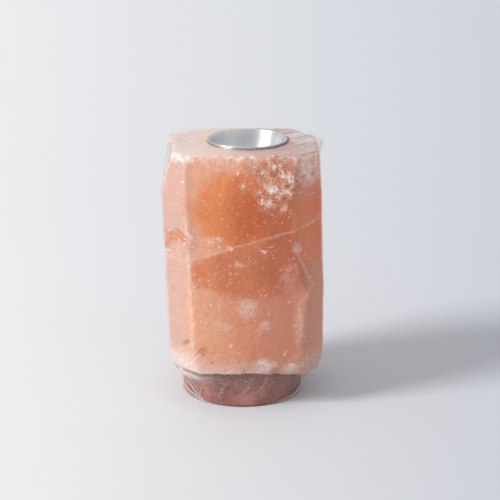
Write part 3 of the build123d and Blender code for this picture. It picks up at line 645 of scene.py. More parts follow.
def saltMaterial():
    # rock salt, hewn: cloudy pink crystal with clear orange depths, white veins, flecks and frosted edges
    k = saltLook
    material, node, coords = newMaterial("rockSalt")
    centred = node("VectorMath.SUBTRACT", node("TexNoise", coords, *k["warp"], out="Color"), (0.5, 0.5, 0.5))
    bent = node("VectorMath.MULTIPLY_ADD", centred, k["warpBy"], coords)
    cloudy, wisps = (node("TexNoise", bent, *k[name]) for name in ("cloudy", "wisps"))
    mottle, sugar, lumps, raggedness, crowding = (
        node("TexNoise", coords, *k[name]) for name in ("mottle", "sugar", "lumps", "raggedness", "crowding"))
    jitter = node("TexNoise", coords, *k["jitter"], out="Color")
    frost, crust, clump, porous, pit = (
        node("Attribute", out="Fac", attribute_name=mark) for mark in ("frost", "crust", "clump", "porous", "pit"))
    sides = node("SeparateXYZ", bent).outputs
    leftMost, rightMost = k["width"]
    across = node("MapRange", sides[0], leftMost * mm, rightMost * mm)
    span = rightMost - leftMost
    bodyAndPaintedLightStops, crustAndShadeStops = (
        [((place - leftMost) / span, tone) for place, tone in k[name]] for name in ("body", "crust"))
    shifted = node("Math.ADD", across, node("Math.MULTIPLY_ADD", cloudy, *k["drift"]))
    # painted light and shade: the body ramp is paler towards the lit left and darker to the right, and lighter again
    # at the far right
    colour = node("ValToRGB", shifted, stops=bodyAndPaintedLightStops)
    # the vein's plane: how far a point is above or below it
    offPlane = node("Math.SUBTRACT", node("VectorMath.DOT_PRODUCT", bent, k["veinWay"]), k["veinPlace"])
    belowVein = node("MapRange", offPlane, *k["belowVein"])
    raggedBy, edgeStart = k["ragged"]
    for centre, reach, tone, strength, onlyBelow, softness in k["zones"]:
        ragged = node("Math.MULTIPLY_ADD", raggedness, raggedBy, ballMask(node, bent, centre, reach))
        mask = node("MapRange.SMOOTHSTEP", ragged, edgeStart, edgeStart + softness, 0.0, strength)
        if onlyBelow:
            mask = node("Math.MULTIPLY", mask, belowVein)
        colour = node("Mix.RGBA", mask, colour, tone)
    feathers = node("MapRange", wisps, *k["feathers"])
    for centre, reach, strength, tone in k["clouds"]:
        feathered = node("Math.MULTIPLY", feathers, ballMask(node, bent, centre, reach))
        colour = node("Mix.RGBA", node("MapRange", feathered, *k["cloudEdge"], 0.0, strength), colour, tone)
    # vein: a thin white seam where the bent plane crosses the surface, broken up by the wisps
    seam = node("MapRange", node("Math.ABSOLUTE", offPlane), *k["veinWidth"])
    threads = node("Math.MULTIPLY", seam, node("MapRange", wisps, *k["veinGaps"]))
    colour = node("Mix.RGBA", threads, colour, k["veinTone"])
    for mark, strength, tone in k["drawn"]:
        level = node("Math.MULTIPLY", node("Attribute", out="Fac", attribute_name=mark), strength)
        colour = node("Mix.RGBA", level, colour, tone)
    # sugar: the fine crystal grain, a little lighter and darker from grain to grain
    colour = node("Mix.RGBA", 1.0, colour, node("MapRange", sugar, *k["glints"]), blend_type="MULTIPLY")
    # flecks: small grains of several sizes, crowded in some places and sparse in others, and flakes among them
    crowd = node("MapRange", crowding, *k["crowd"])
    fleckLevel = node("ValToRGB", node("MapRange", sides[2], *k["fleckHeights"]), stops=k["fleckLevels"])
    crowded = node("Math.MULTIPLY_ADD", sides[0], k["crowdRight"], node("Math.ADD", crowd, fleckLevel))
    frontPlace, frontDepth = k["gatherFront"]
    gathered = 0.0
    for (aside, high), (wide, tall) in k["gatherings"]:
        ball = ballMask(node, coords, (aside, frontPlace, high), (wide, frontDepth, tall))
        crowded = node("Math.MULTIPLY_ADD", ball, k["gatherBy"], crowded)
        gathered = node("Math.MAXIMUM", ball, gathered)
    flakes = node("MapRange", node("Math.MULTIPLY_ADD", gathered, k["flakeBy"], wisps), *k["flakes"])
    colour = node("Mix.RGBA", flakes, colour, k["flakeTone"])
    shaken, pulled = (
        node("VectorMath.MULTIPLY_ADD", jitter, (k[name] * mm,) * 3, coords) for name in ("shakeMm", "holeShakeMm"))
    for cell, size, rarity, tone in k["flecks"]:
        grains = node("TexVoronoi", shaken, perMm(cell)).outputs
        chance, strength, growth = node("SeparateColor", grains["Color"]).outputs
        away = node("Math.DIVIDE", grains["Distance"], node("Math.ADD", growth, k["fleckLeast"]))
        dots = node("MapRange", away, *(size * edge for edge in k["fleckEdge"]))
        some = node("Math.GREATER_THAN", node("Math.ADD", chance, crowded), rarity)
        faint = node("Math.MULTIPLY", node("Math.MULTIPLY", dots, some), strength)
        colour = node("Mix.RGBA", faint, colour, tone)
    # frosted edges, the pale top and foot, and the porous corner follow the shape, so they are read from the mesh
    frosted = node("Math.MULTIPLY", frost, node("MapRange", wisps, *k["frostGaps"]), use_clamp=True)
    colour = node("Mix.RGBA", frosted, colour, k["frostTone"])
    white = node("MapRange", node("Math.MULTIPLY_ADD", clump, k["clumpBy"], lumps), *k["white"])
    colour = node("Mix.RGBA", node("Math.MULTIPLY", frost, white, use_clamp=True), colour, k["edgeTone"])
    crusted = node("Math.MULTIPLY", crust, node("MapRange", cloudy, *k["crustPatches"]))
    # painted shade: the crust colour greys and darkens to the right, away from the key light
    colour = node("Mix.RGBA", crusted, colour, node("ValToRGB", across, stops=crustAndShadeStops))
    # porous corner: grainy pink ground, brown pits, pale crumbs, white crystal lumps and small holes in painted shade
    holes = node("TexVoronoi", pulled, perMm(k["holeMm"])).outputs
    openHole = node("MapRange", node("SeparateColor", holes["Color"]), *k["holeSizes"])
    # painted shade: each small hole is a dark dot in the colour, with no hollow in the mesh
    dark = node("MapRange", node("Math.SUBTRACT", openHole, holes["Distance"]), *k["holeEdge"])
    crumbs = node("MapRange", sugar, *k["crumbs"])
    for share, (strength, tone) in zip((1.0, pit, crumbs, white, dark), k["porousLayers"]):
        here = node("Math.MULTIPLY", share, node("Math.MULTIPLY", porous, strength))
        colour = node("Mix.RGBA", here, colour, tone)
    relief = node("Math.MULTIPLY_ADD", node("Math.MULTIPLY", lumps, porous), k["porousRelief"], sugar)
    surface = node("BsdfPrincipled", byName={
        "Base Color": colour, "Roughness": node("MapRange", mottle, *k["roughness"]),
        "Normal": node("Bump", byName={**k["bump"], "Height": relief}), **k["crystal"]})
    node("OutputMaterial", surface)
    return material


salt = makeSalt()
salt.data.materials.append(saltMaterial())
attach(salt, "lamp")
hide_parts("salt_block")
print("salt made:", len(salt.data.polygons), "faces")

dishPiece = {
    "columns": 168,
    "axisX": 3.7,
    "floorLevel": 174.5,
    "floorRadius": 8.5,
    "floorRings": (0.0, 3.0, 6.0),
    "underRings": (4.0, 0.0),
    "bowlRadius": 18.7,
    "wall": 0.6,
    # first and last angle in degrees, and count, of the bowl's inside, the rolled bead and the bowl's outside
    "inside": (0, 84, 40),
    "rolled": (152, -150, 22),
    "outside": (80, 0, 28),
    # the lip, inside and outside the bead: radius, and height over the middle of the bowl's round
    "lipInside": ((27.5, -1.0), (27.85, -0.4), (28.1, -0.05)),
    "lipOutside": ((28.15, -1.15), (27.95, -2.2)),
    "beadPlace": (28.9, 193.55, 0.45),
}


def makeDish():
    # lathe: floor, quarter-round bowl, rolled lip, bead, and the same way back on the outside
    d = dishPiece
    floorRadius, bowl = d["floorRadius"], d["bowlRadius"]
    wide = bowl + d["wall"]
    centre = d["floorLevel"] + bowl
    beadRadius, beadLevel, bead = d["beadPlace"]
    inside, rolled, outside = (np.radians(np.linspace(*d[name])) for name in ("inside", "rolled", "outside"))
    profile = np.concatenate([
        [(radius, d["floorLevel"]) for radius in d["floorRings"]],
        np.stack([floorRadius + bowl * np.sin(inside), centre - bowl * np.cos(inside)], -1),
        [(radius, centre + rise) for radius, rise in d["lipInside"]],
        np.stack([beadRadius + bead * np.cos(rolled), beadLevel + bead * np.sin(rolled)], -1),
        [(radius, centre + rise) for radius, rise in d["lipOutside"]],
        np.stack([floorRadius + wide * np.sin(outside), centre - wide * np.cos(outside)], -1),
        [(radius, d["floorLevel"] - d["wall"]) for radius in d["underRings"]],
    ])
    angles = np.linspace(0, 2 * np.pi, d["columns"], endpoint=False)
    points = np.zeros((len(profile), d["columns"], 3))
    points[..., 0] = d["axisX"] + profile[:, :1] * np.cos(angles)
    points[..., 1] = profile[:, :1] * np.sin(angles)
    points[..., 2] = profile[:, 1:]
    return addSurface("spunDish", points, weld=True)


dishLook = {
    "rings": {"Scale": perMm(0.9) / 20, "Distortion": 0.4, "Detail": 2.0, "Detail Scale": 3.0},
    "cloud": (perMm(9.0), 4.0),
    "tint": ((0.35, "e7e8e9"), (0.65, "f0f0f1")),
    "roughness": (0.0, 1.0, 0.54, 0.6),
    "bump": {"Strength": 0.12, "Distance": 0.0002},
    "metal": {"Metallic": 1.0, "Anisotropic": 0.92, "Anisotropic Rotation": 0.25},
}


def dishMaterial():
    # aluminium, spun: fine rings from the tool, which draw the light out into streaks across the bowl
    k = dishLook
    material, node, coords = newMaterial("spunAluminium")
    place = node("Mapping", coords, (-dishPiece["axisX"] * mm, 0, 0))
    rings = node("TexWave", place, byName=k["rings"], out="Fac", wave_type="RINGS", rings_direction="Z")
    cloud = node("TexNoise", coords, *k["cloud"])
    surface = node("BsdfPrincipled", byName={
        "Base Color": node("ValToRGB", cloud, stops=k["tint"]), "Roughness": node("MapRange", rings, *k["roughness"]),
        "Tangent": node("Tangent", direction_type="RADIAL", axis="Z"),
        "Normal": node("Bump", byName={**k["bump"], "Height": rings}), **k["metal"]})
    node("OutputMaterial", surface)
    return material


dish = makeDish()
dish.data.materials.append(dishMaterial())
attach(dish, "dish")
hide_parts("aroma_dish")
print("dish made")

filmPiece = {
    "columns": 580,
    # the columns stand closer at some turns: turn, spread and how much closer, and steps of the sum over the turns
    "fineTurns": ((214.0, 26.0, 1.6), (332.0, 26.0, 1.2), (4.0, 14.0, 0.8), (172.0, 18.0, 0.8)),
    "turnSteps": 3601,
    "sharpness": 90.0,
    "stand": 0.42,
    # above the block's shoulders the film runs straight up to the gathered ears left and right
    "top": (53.6, 55.5, 47.2, 42.6, 10.0, 16.3, 22.0, 18.0),
    "levels": (0.4, 9.8, 28.5, 36.5, 94.5, 163.0, 189.5, 192.0, 192.4),
    # how far the two uppermost levels run in
    "topIn": (0.1, 1.2),
    # rows of the hem, below the block and over the top; rows of the sides: first and last height, and count
    "hemRows": 6,
    "lowRows": 48,
    "topRows": 40,
    "sideRows": ((28.5, 36.5, 13), (36.5, 56.0, 24), (56.0, 176.0, 20), (176.0, 191.6, 20)),
    "crownRows": (191.6, 192.0, 192.3),
    "topLevel": 192.42,
    # radii at the hem and up the base, and the least radius at the block's foot
    "hem": (45.5, 45.8, 46.7),
    # the hem's width, and at the notch, and the share of it that its last row keeps
    "hemWidths": (1.8, 0.4),
    "hemEnd": 0.08,
    # where the film stands off the base: turn, spread and distance, and the share of it at the hem
    "slack": ((350.0, 34.0, 1.9), (190.0, 34.0, 1.1), (90.0, 60.0, 0.6)),
    "hemSlack": 0.4,
    # the opening round the dish: axis and radius
    "opening": (3.7, 31.2),
    # cut over the cord channel: turn, half-width, top and how far its sides slope
    "notch": (90.0, 7.5, 12.2, 2.5),
    # ears: turn, spread and size, and the height that they stand at and its spread
    "ears": ((8.0, 7.0, 4.2), (168.0, 15.0, 2.0)),
    "earHeight": (192.0, 9.0),
    # milky places: turn and its spread, height and its spread, and strength; none near the dish
    "gathers": (
        (172.0, 22.0, 193.0, 13.0, 1.0), (6.0, 18.0, 193.0, 9.0, 0.5), (214.0, 22.0, 24.0, 5.0, 0.85),
        (338.0, 12.0, 22.0, 5.0, 0.3)),
    "gatherFrom": (36.0, 50.0),
    # creases that fan out from the ears: place, ways and count; how far from the ear they start and end;
    # spread of the bow, sizes and half-widths
    "earCreases": ((59.0, 6.0, (165, 260), 20), (-55.0, 12.0, (-75, 50), 12)),
    "earRuns": ((1, 16), (14, 38)),
    "earFold": (0.9, (0.25, 0.7), (0.4, 0.55)),
    # loose crinkles at the top's left, and long ones that sweep over its right end: count, places, ways,
    # lengths, spread of the bow, sizes and half-widths
    "topCrinkles": (
        (90, (-56, -38), (-8, 26), (0, 360), (4, 11), 0.45, (0.18, 0.5), (0.4, 0.55)),
        (50, (36, 58), (-4, 26), (188, 236), (10, 26), 0.45, (0.3, 0.9), (0.4, 0.55))),
    # folds: turns from and to, heights from and to, spread of the turns, count, sizes and half-widths
    "sideFolds": (
        (194.0, 238.0, (21.0, 28.0), (19.0, 26.0), 6.0, 18, (0.15, 0.6), (0.35, 0.5)),
        (200.0, 224.0, (20.0, 30.0), (3.0, 12.0), 8.0, 9, (0.15, 0.4), (0.35, 0.5)),
        (350.0, 320.0, (16.0, 29.0), (3.0, 12.0), 7.0, 8, (0.15, 0.4), (0.35, 0.5)),
        (350.0, 318.0, (24.0, 29.0), (22.0, 27.0), 5.0, 7, (0.2, 0.5), (0.45, 0.7)),
        (40.0, 66.0, (18.0, 30.0), (3.0, 12.0), 9.0, 12, (0.2, 0.8), (0.45, 0.8)),
        (140.0, 116.0, (18.0, 30.0), (3.0, 12.0), 9.0, 12, (0.2, 0.8), (0.45, 0.8)),
        (224.0, 240.0, (32.0, 38.0), (42.0, 56.0), 7.0, 8, (0.12, 0.35), (0.5, 0.8)),
        (316.0, 322.0, (32.0, 38.0), (42.0, 58.0), 7.0, 5, (0.1, 0.3), (0.5, 0.8)),
        (60.0, 66.0, (32.0, 38.0), (44.0, 62.0), 8.0, 6, (0.15, 0.4), (0.6, 0.9)),
        (130.0, 122.0, (32.0, 38.0), (44.0, 62.0), 8.0, 6, (0.15, 0.4), (0.6, 0.9)),
        (172.0, 176.0, (186.0, 191.0), (158.0, 180.0), 9.0, 14, (0.1, 0.3), (0.6, 0.9)),
        (6.0, 352.0, (186.0, 191.0), (162.0, 182.0), 8.0, 12, (0.2, 0.5), (0.6, 0.9)),
    ),
    "sideBow": 1.2,
    # faint folds all round the base: count, heights from and to, spread of the turns and the bow, sizes, half-widths
    "baseFolds": (60, (20, 34), (3, 16), 12, 1.5, (0.06, 0.25), (0.5, 0.9)),
    # the brightest lines, creases whose white is partly painted highlight: turns and heights that each goes through,
    # and its size
    "brightLines": (
        (((190.0, 8.5), (201.5, 6.6), (213.5, 5.0), (227.8, 1.8), (240.5, 0.9)), 1.0),
        (((212.0, 18.0), (215.5, 10.0), (222.0, 5.2), (234.5, 1.4)), 0.9),
        (((234.0, 15.0), (225.0, 7.0), (230.0, 2.6)), 0.5),
        (((229.0, 17.0), (221.0, 9.0), (226.0, 3.5)), 0.35),
        (((205.0, 25.0), (223.0, 24.6), (236.0, 23.4), (247.0, 25.4)), 0.8),
        (((207.0, 21.5), (224.0, 20.6), (237.0, 22.2)), 0.6),
        (((212.0, 23.0), (226.0, 22.4), (240.0, 24.0)), 0.45),
        (((338.0, 20.0), (344.0, 9.0), (335.0, 3.5), (312.8, 1.8), (296.0, 1.2)), 1.0),
        (((334.0, 18.0), (338.0, 9.0), (329.0, 2.5), (316.0, 1.8)), 0.55),
        (((328.0, 20.0), (330.0, 12.0), (322.0, 5.0)), 0.35),
        (((224.5, 29.0), (234.5, 38.6), (238.5, 43.9), (243.0, 47.4)), 0.65),
        (((227.5, 30.0), (236.5, 38.6), (241.0, 43.0)), 0.4),
        (((152.0, 18.0), (140.0, 8.0), (122.0, 2.5)), 0.9),
        (((28.0, 16.0), (40.0, 7.0), (58.0, 2.5)), 0.9),
    ),
    "brightHalf": 0.42,
    # short darker orange strokes on the film: painted shade along its creases
    "creaseShadeLines": (
        (((224.2, 47.2), (226.5, 51.9), (231.0, 54.9)), 0.9), (((226.2, 46.9), (228.8, 51.2), (231.3, 53.4)), 0.8),
        (((237.2, 46.2), (239.8, 48.4), (243.0, 49.2)), 0.9), (((238.0, 44.4), (240.5, 46.2), (243.5, 47.2)), 0.9),
        (((239.3, 42.9), (241.2, 44.6), (243.0, 45.2)), 0.8), (((245.5, 36.4), (247.5, 38.6)), 0.9),
    ),
    "creaseShadeHalf": 0.5,
    # both kinds thin out towards these shares of their length
    "lineEnds": (0.02, 0.98),
    # the film lifts by its creases and by waves that never sink far, and hardly at the hem
    "foldLift": 0.9,
    "waves": ((0.10, 13.0, 51), (0.05, 6.0, 52)),
    "deepest": -0.12,
    "hemLift": 0.15,
    # how white a crease is, partly the film's own milkiness in its folds and partly painted highlight: its height
    # times a gain, to a power
    "creaseMark": (1.5, 1.5),
    "meanRadius": 50,
    "seed": 5,
}
# millimetres for each degree round the film
perDegree = math.radians(1) * filmPiece["meanRadius"]


def filmTurns():
    # directions of the columns: equal shares of a curve with bells where the creases are fine
    f = filmPiece
    fine = np.linspace(0, 360, f["turnSteps"])
    weight = np.ones_like(fine)
    for turn, width, size in f["fineTurns"]:
        weight += size * bell(turnGap(fine, turn), width)
    total = np.concatenate([[0], np.cumsum((weight[1:] + weight[:-1]) / 2)])
    return np.radians(np.interp(np.linspace(0, total[-1], f["columns"], endpoint=False), total, fine))


def filmReach(angles, heights):
    # how far the film stands from the axis: straight between its levels, column by column
    f = filmPiece
    low, mid, high = (faceReach(blockShape[name]) + f["stand"] for name in ("low", "mid", "high"))
    top = faceReach(f["top"]) + f["stand"]
    bevelled = low - np.array(blockShape["footBevel"])
    hem, foot, shoulder = f["hem"]
    slack = sum(size * bell(turnGap(np.degrees(angles), turn), width) for turn, width, size in f["slack"])
    outlines = [outlineRadius(reach, angles, f["sharpness"]) for reach in (bevelled, low, mid, high, top)]
    sections = np.stack([
        hem + f["hemSlack"] * slack, foot + slack, np.maximum(outlines[0], shoulder), *outlines[1:],
        *(outlines[-1] - run for run in f["topIn"])])
    levels = np.array(f["levels"])
    index = np.clip(np.searchsorted(levels, heights, side="right") - 1, 0, len(levels) - 2)
    share = np.clip((heights - levels[index]) / (levels[index + 1] - levels[index]), 0, 1)
    column = np.arange(sections.shape[1])[None, :]
    return sections[index, column] * (1 - share) + sections[index + 1, column] * share


def filmGrid(angles):
    # open sheet: rows go from the hem under the base, up the sides and in over the top to the dish
    f = filmPiece
    circle = np.stack([np.cos(angles), np.sin(angles)], axis=-1)
    notchTurn, notchWidth, notchTop, notchSlope = f["notch"]
    notchSpan = np.abs((angles - math.radians(notchTurn) + np.pi) % (2 * np.pi) - np.pi) * f["hem"][1]
    notch = smoothStep(notchWidth, notchWidth - notchSlope, notchSpan)
    lowest = f["levels"][0] + (notchTop - f["levels"][0]) * notch
    up = np.linspace(0, 1, f["lowRows"])[:-1, None]
    levels = np.concatenate([*(np.linspace(*run)[:-1] for run in f["sideRows"]), f["crownRows"]])
    heights = np.concatenate([lowest + (levels[0] - lowest) * up, np.repeat(levels[:, None], f["columns"], axis=1)])
    reach = filmReach(angles, heights)
    earLevel, earSpread = f["earHeight"]
    for turn, width, size in f["ears"]:
        reach += size * bell(turnGap(np.degrees(angles), turn), width) * bell(heights - earLevel, earSpread)
    sides = np.concatenate([circle[None] * reach[..., None], heights[..., None]], axis=-1)
    hemWidth, notchHem = f["hemWidths"]
    inward = np.linspace(1, f["hemEnd"], f["hemRows"])[:, None] * (hemWidth * (1 - notch) + notchHem * notch)
    hemHeights = np.repeat(heights[:1], f["hemRows"], axis=0)
    hem = np.concatenate([circle[None] * (reach[:1] - inward)[..., None], hemHeights[..., None]], axis=-1)
    openingX, openingRadius = f["opening"]
    share = np.linspace(0, 1, f["topRows"] + 1)[1:, None, None]
    rim = circle[None] * openingRadius + np.array([openingX, 0])
    topRing = sides[-1:, :, :2] * (1 - share) + rim * share
    top = np.concatenate([topRing, np.full((f["topRows"], f["columns"], 1), f["topLevel"])], axis=-1)
    return np.concatenate([hem, sides, top]), len(hem) + len(sides)


def filmCreases():
    # creases, each a start, an end, how far it bows, its height and its half-width: those of the sides are
    # laid out on the unrolled film, turn in degrees and height, and those of the top from above
    f = filmPiece
    rng = np.random.default_rng(f["seed"])
    sideCreases, topCreases = [], []
    bow, sizes, halves = f["earFold"]
    for earX, earY, ways, count in f["earCreases"]:
        for _ in range(count):
            way = heading(math.radians(rng.uniform(*ways)))
            start, end = (np.array([earX, earY]) + way * rng.uniform(*run) for run in f["earRuns"])
            topCreases.append((start, end, rng.normal(0, bow), rng.uniform(*sizes), rng.uniform(*halves)))
    for count, xs, ys, ways, lengths, bow, sizes, halves in f["topCrinkles"]:
        for _ in range(count):
            start = np.array([rng.uniform(*xs), rng.uniform(*ys)])
            end = start + heading(math.radians(rng.uniform(*ways))) * rng.uniform(*lengths)
            topCreases.append((start, end, rng.normal(0, bow), rng.uniform(*sizes), rng.uniform(*halves)))
    for fromTurn, toTurn, fromHeights, toHeights, turnSpread, count, sizes, halves in f["sideFolds"]:
        for _ in range(count):
            start = (fromTurn + rng.normal(0, turnSpread), rng.uniform(*fromHeights))
            end = (toTurn + rng.normal(0, turnSpread), rng.uniform(*toHeights))
            sideCreases.append((start, end, rng.normal(0, f["sideBow"]), rng.uniform(*sizes), rng.uniform(*halves)))
    count, fromHeights, toHeights, turnSpread, bow, sizes, halves = f["baseFolds"]
    for _ in range(count):
        turn = rng.uniform(0, 360)
        start, end = (turn, rng.uniform(*fromHeights)), (turn + rng.normal(0, turnSpread), rng.uniform(*toHeights))
        sideCreases.append((start, end, rng.normal(0, bow), rng.uniform(*sizes), rng.uniform(*halves)))
    return sideCreases, topCreases


def bowedFold(fromX, fromY, runX, runY, bow, size, half):
    # a bell across a run that bows out like a parabola, thinning out at both ends
    length = math.hypot(runX, runY)
    along = (fromX * runX + fromY * runY) / length
    t = np.clip(along / length, 0, 1)
    off = (fromX * runY - fromY * runX) / length - bow * 4 * t * (1 - t)
    return size * bell(np.hypot(off, along - t * length), half) * np.sqrt(np.clip(np.sin(np.pi * t), 0, 1))


def roundCorners(stops):
    # each inner corner is cut at a quarter and three quarters of its runs, and the ends stay
    near, far = stops[:-1], stops[1:]
    cut = np.stack([near * 0.75 + far * 0.25, near * 0.25 + far * 0.75], axis=1).reshape(-1, 2)
    return np.concatenate([stops[:1], cut[1:-1], stops[-1:]]) if len(stops) > 2 else stops


def makeFilm():
    # the sheet is lifted along its normals by its creases, its bright lines and faint waves
    f = filmPiece
    angles = filmTurns()
    points, topStart = filmGrid(angles)
    turns = np.broadcast_to(np.degrees(angles), points.shape[:2])
    sideTurns, sideHeights = turns[:topStart], points[:topStart, :, 2]
    ridge, creaseShade, gather = np.zeros((3, *points.shape[:2]))
    sideCreases, topCreases = filmCreases()
    for start, end, *fold in sideCreases:
        across, runAcross = turnGap(sideTurns, start[0]) * perDegree, (end[0] - start[0]) * perDegree
        folded = bowedFold(across, sideHeights - start[1], runAcross, end[1] - start[1], *fold)
        ridge[:topStart] = np.maximum(ridge[:topStart], folded)
    for start, end, *fold in topCreases:
        away = points[topStart:, :, :2] - start
        folded = bowedFold(away[..., 0], away[..., 1], *(end - start), *fold)
        ridge[topStart:] = np.maximum(ridge[topStart:], folded)
    # lines through several points of the unrolled film, thinning out at both ends
    for lines, target, half in ((f["brightLines"], ridge, f["brightHalf"]), (f["creaseShadeLines"], creaseShade, f["creaseShadeHalf"])):
        for stops, size in lines:
            stops = roundCorners(roundCorners(np.array(stops)))
            for i, (start, end) in enumerate(zip(stops[:-1], stops[1:])):
                across, runAcross = turnGap(sideTurns, start[0]) * perDegree, (end[0] - start[0]) * perDegree
                t, away = nearSegment(across, sideHeights - start[1], runAcross, end[1] - start[1])
                taper = np.sqrt(np.sin(np.pi * np.clip((i + t) / (len(stops) - 1), *f["lineEnds"])))
                target[:topStart] = np.maximum(target[:topStart], size * taper * bell(away, half))
    # gathers: the film is milky where it bunches up
    for turn, width, level, spread, strength in f["gathers"]:
        bunched = strength * bell(turnGap(turns, turn), width) * bell(points[..., 2] - level, spread)
        gather = np.maximum(gather, bunched)
    gather = gather * smoothStep(*f["gatherFrom"], np.linalg.norm(points[..., :2], axis=-1))
    lift = ridge * f["foldLift"] + np.maximum(ripples(points, f["waves"]), f["deepest"])
    lift[:f["hemRows"]] *= f["hemLift"]
    points = points + gridNormals(points) * lift[..., None]
    gain, power = f["creaseMark"]
    crease = np.clip(ridge * gain, 0, 1) ** power
    return addSurface("filmWrap", points, marks={"crease": crease, "gather": gather, "creaseShade": creaseShade})


filmLook = {
    "crumple": (perMm(5.0), 5.0, 0.6),
    "bump": {"Strength": 0.06, "Distance": 0.0006},
    "milky": (0.35, 0.75, 0.0036, 0.0096),
    "gatherHaze": 0.55,
    "creaseHazeAndSheen": 0.75,
    # the clear film's tint, and the darker orange of the crease strokes, which is painted shade
    "clear": ("fdfdfd", "dca284"),
    "milk": ("f4f0ee", "ecd4ca"),
    "gloss": {"Color": "ffffff", "Roughness": 0.09},
    "mirror": (0.5, 0.03),
}


def filmMaterial():
    # shrink film, heat-drawn: clear and glossy, faintly milky, white along its gathered creases, which is partly the
    # film's milkiness and partly painted highlight
    k = filmLook
    material, node, coords = newMaterial("shrinkFilm")
    crease, gather, creaseShade = (
        node("Attribute", out="Fac", attribute_name=mark) for mark in ("crease", "gather", "creaseShade"))
    crumple = node("TexNoise", coords, *k["crumple"])
    bumps = node("Bump", byName={**k["bump"], "Height": crumple})
    bunched = node("Math.MULTIPLY_ADD", gather, k["gatherHaze"], node("MapRange", crumple, *k["milky"]))
    # the white along the creases is partly the film's milkiness and partly painted highlight
    haze = node("Math.MULTIPLY_ADD", crease, k["creaseHazeAndSheen"], bunched, use_clamp=True)
    # painted shade: the clear film is tinted darker orange along the crease strokes
    clear = node("BsdfTransparent", node("Mix.RGBA", creaseShade, *k["clear"]))
    white = node("BsdfDiffuse", byName={"Color": node("Mix.RGBA", gather, *k["milk"]), "Normal": bumps})
    gloss = node("BsdfGlossy", byName={**k["gloss"], "Normal": bumps})
    body = node("MixShader", haze, clear, white)
    node("OutputMaterial", node("MixShader", facingMirror(node, bumps, *k["mirror"]), body, gloss))
    return material


film = makeFilm()
film.data.materials.append(filmMaterial())
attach(film, "lamp")
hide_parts("shrink_film")
print("film made:", len(film.data.polygons), "faces")

woodLook = {
    "drawn": (0.12, 1.0, 1.0),
    "grain": {"Scale": perMm(2.2), "Detail": 6.0, "Roughness": 0.65, "Distortion": 0.6},
    "grainShare": 0.6,
    "broad": (perMm(24.0), 3.0),
    "tones": ((0.55, "7d4a3f"), (0.8, "9f6256"), (1.0, "b87a6c")),
    # greyer and darker towards the top, painted shade under the overhanging block, and darker to the right, painted
    # shade on the side away from the key light: range and colour
    "upper": (0.008, 0.024, 0.0, 0.5),
    "overhangShade": "6f5049",
    "rightShade": (0.014, 0.044, 0.0, 0.5),
    "rightShadeTone": "56332b",
    # pale dust in the pores: cells, size range, least share and colour
    "speckMm": 1.5,
    "specks": (0.42, 0.16, 0.0, 0.8),
    "dustLeast": 0.6,
    "dustTone": "d8bcb4",
    "roughness": (0.0, 1.0, 0.34, 0.58),
    "bump": {"Strength": 0.2, "Distance": 0.0003},
    "ior": 1.5,
}


def woodMaterial():
    # stained rosewood, turned and waxed: reddish brown with fine grain across and pale dust in the pores, and painted
    # shade towards the top and the right
    k = woodLook
    material, node, coords = newMaterial("stainedRosewood")
    grain = node("TexNoise", node("Mapping", coords, byName={"Scale": k["drawn"]}), byName=k["grain"])
    broad = node("TexNoise", coords, *k["broad"])
    colour = node("ValToRGB", node("Math.MULTIPLY_ADD", grain, k["grainShare"], broad), stops=k["tones"])
    place = node("SeparateXYZ", coords).outputs
    # painted shade: darker towards the top under the overhanging block, and darker to the right away from the key
    # light
    upper = node("MapRange", place[2], *k["upper"])
    colour = node("Mix.RGBA", upper, colour, k["overhangShade"])
    colour = node("Mix.RGBA", node("MapRange.SMOOTHSTEP", place[0], *k["rightShade"]), colour, k["rightShadeTone"])
    specks = node("TexVoronoi", coords, perMm(k["speckMm"])).outputs
    dots = node("MapRange", specks["Distance"], *k["specks"])
    kinds = node("Math.MULTIPLY", dots, node("SeparateColor", specks["Color"]))
    dust = node("Math.MULTIPLY", kinds, node("Math.ADD", upper, k["dustLeast"]))
    surface = node("BsdfPrincipled", byName={
        "Base Color": node("Mix.RGBA", dust, colour, k["dustTone"]), "IOR": k["ior"],
        "Roughness": node("MapRange", grain, *k["roughness"]),
        "Normal": node("Bump", byName={**k["bump"], "Height": grain})})
    node("OutputMaterial", surface)
    return material


# Finishes of the pieces inside and below: two tones, pattern size, roughness range, metal share and bump
innerLooks = {
    "blackRubber": ("2a2a2b", "383838", 0.8, (0.62, 0.8), 0.0, 0.3),  # moulded rubber: dull and slightly dusty
    "zincSteel": ("a9acb0", "c4c6c8", 1.2, (0.25, 0.42), 1.0, 0.1),  # plated screws: bright, faintly clouded
    "greyNylon": ("b3b5b4", "c2c3c1", 2.0, (0.4, 0.55), 0.0, 0.12),  # moulded nylon: soft sheen
    "blackPhenolic": ("1d1b1a", "2b2826", 1.5, (0.22, 0.4), 0.0, 0.08),  # pressed phenolic: deep black gloss
    "drawnBrass": ("b58a45", "c9a25c", 1.6, (0.24, 0.4), 1.0, 0.1),  # drawn brass: warm, slightly tarnished
    "blueSpringSteel": ("6f747c", "8d9299", 1.4, (0.26, 0.4), 1.0, 0.1),  # tempered strip: grey with a blue cast
    "nickelCap": ("bdbab2", "d2cfc7", 1.4, (0.18, 0.34), 1.0, 0.08),  # nickel-plated brass: bright and warm
    "capGlass": ("1a1c20", "2b2d33", 1.2, (0.08, 0.2), 0.0, 0.05),  # dark fused glass between cap and tip
    "tungstenWire": ("6d6a66", "8a8782", 0.6, (0.3, 0.45), 1.0, 0.08),  # drawn wire: dull grey metal
}
slotFinishes = {
    "rubber": "blackRubber", "screw_steel": "zincSteel", "nylon": "greyNylon", "moulding": "blackPhenolic",
    "brass": "drawnBrass", "spring_steel": "blueSpringSteel", "cap_metal": "nickelCap", "cap_ceramic": "capGlass",
    "filament_wire": "tungstenWire",
}
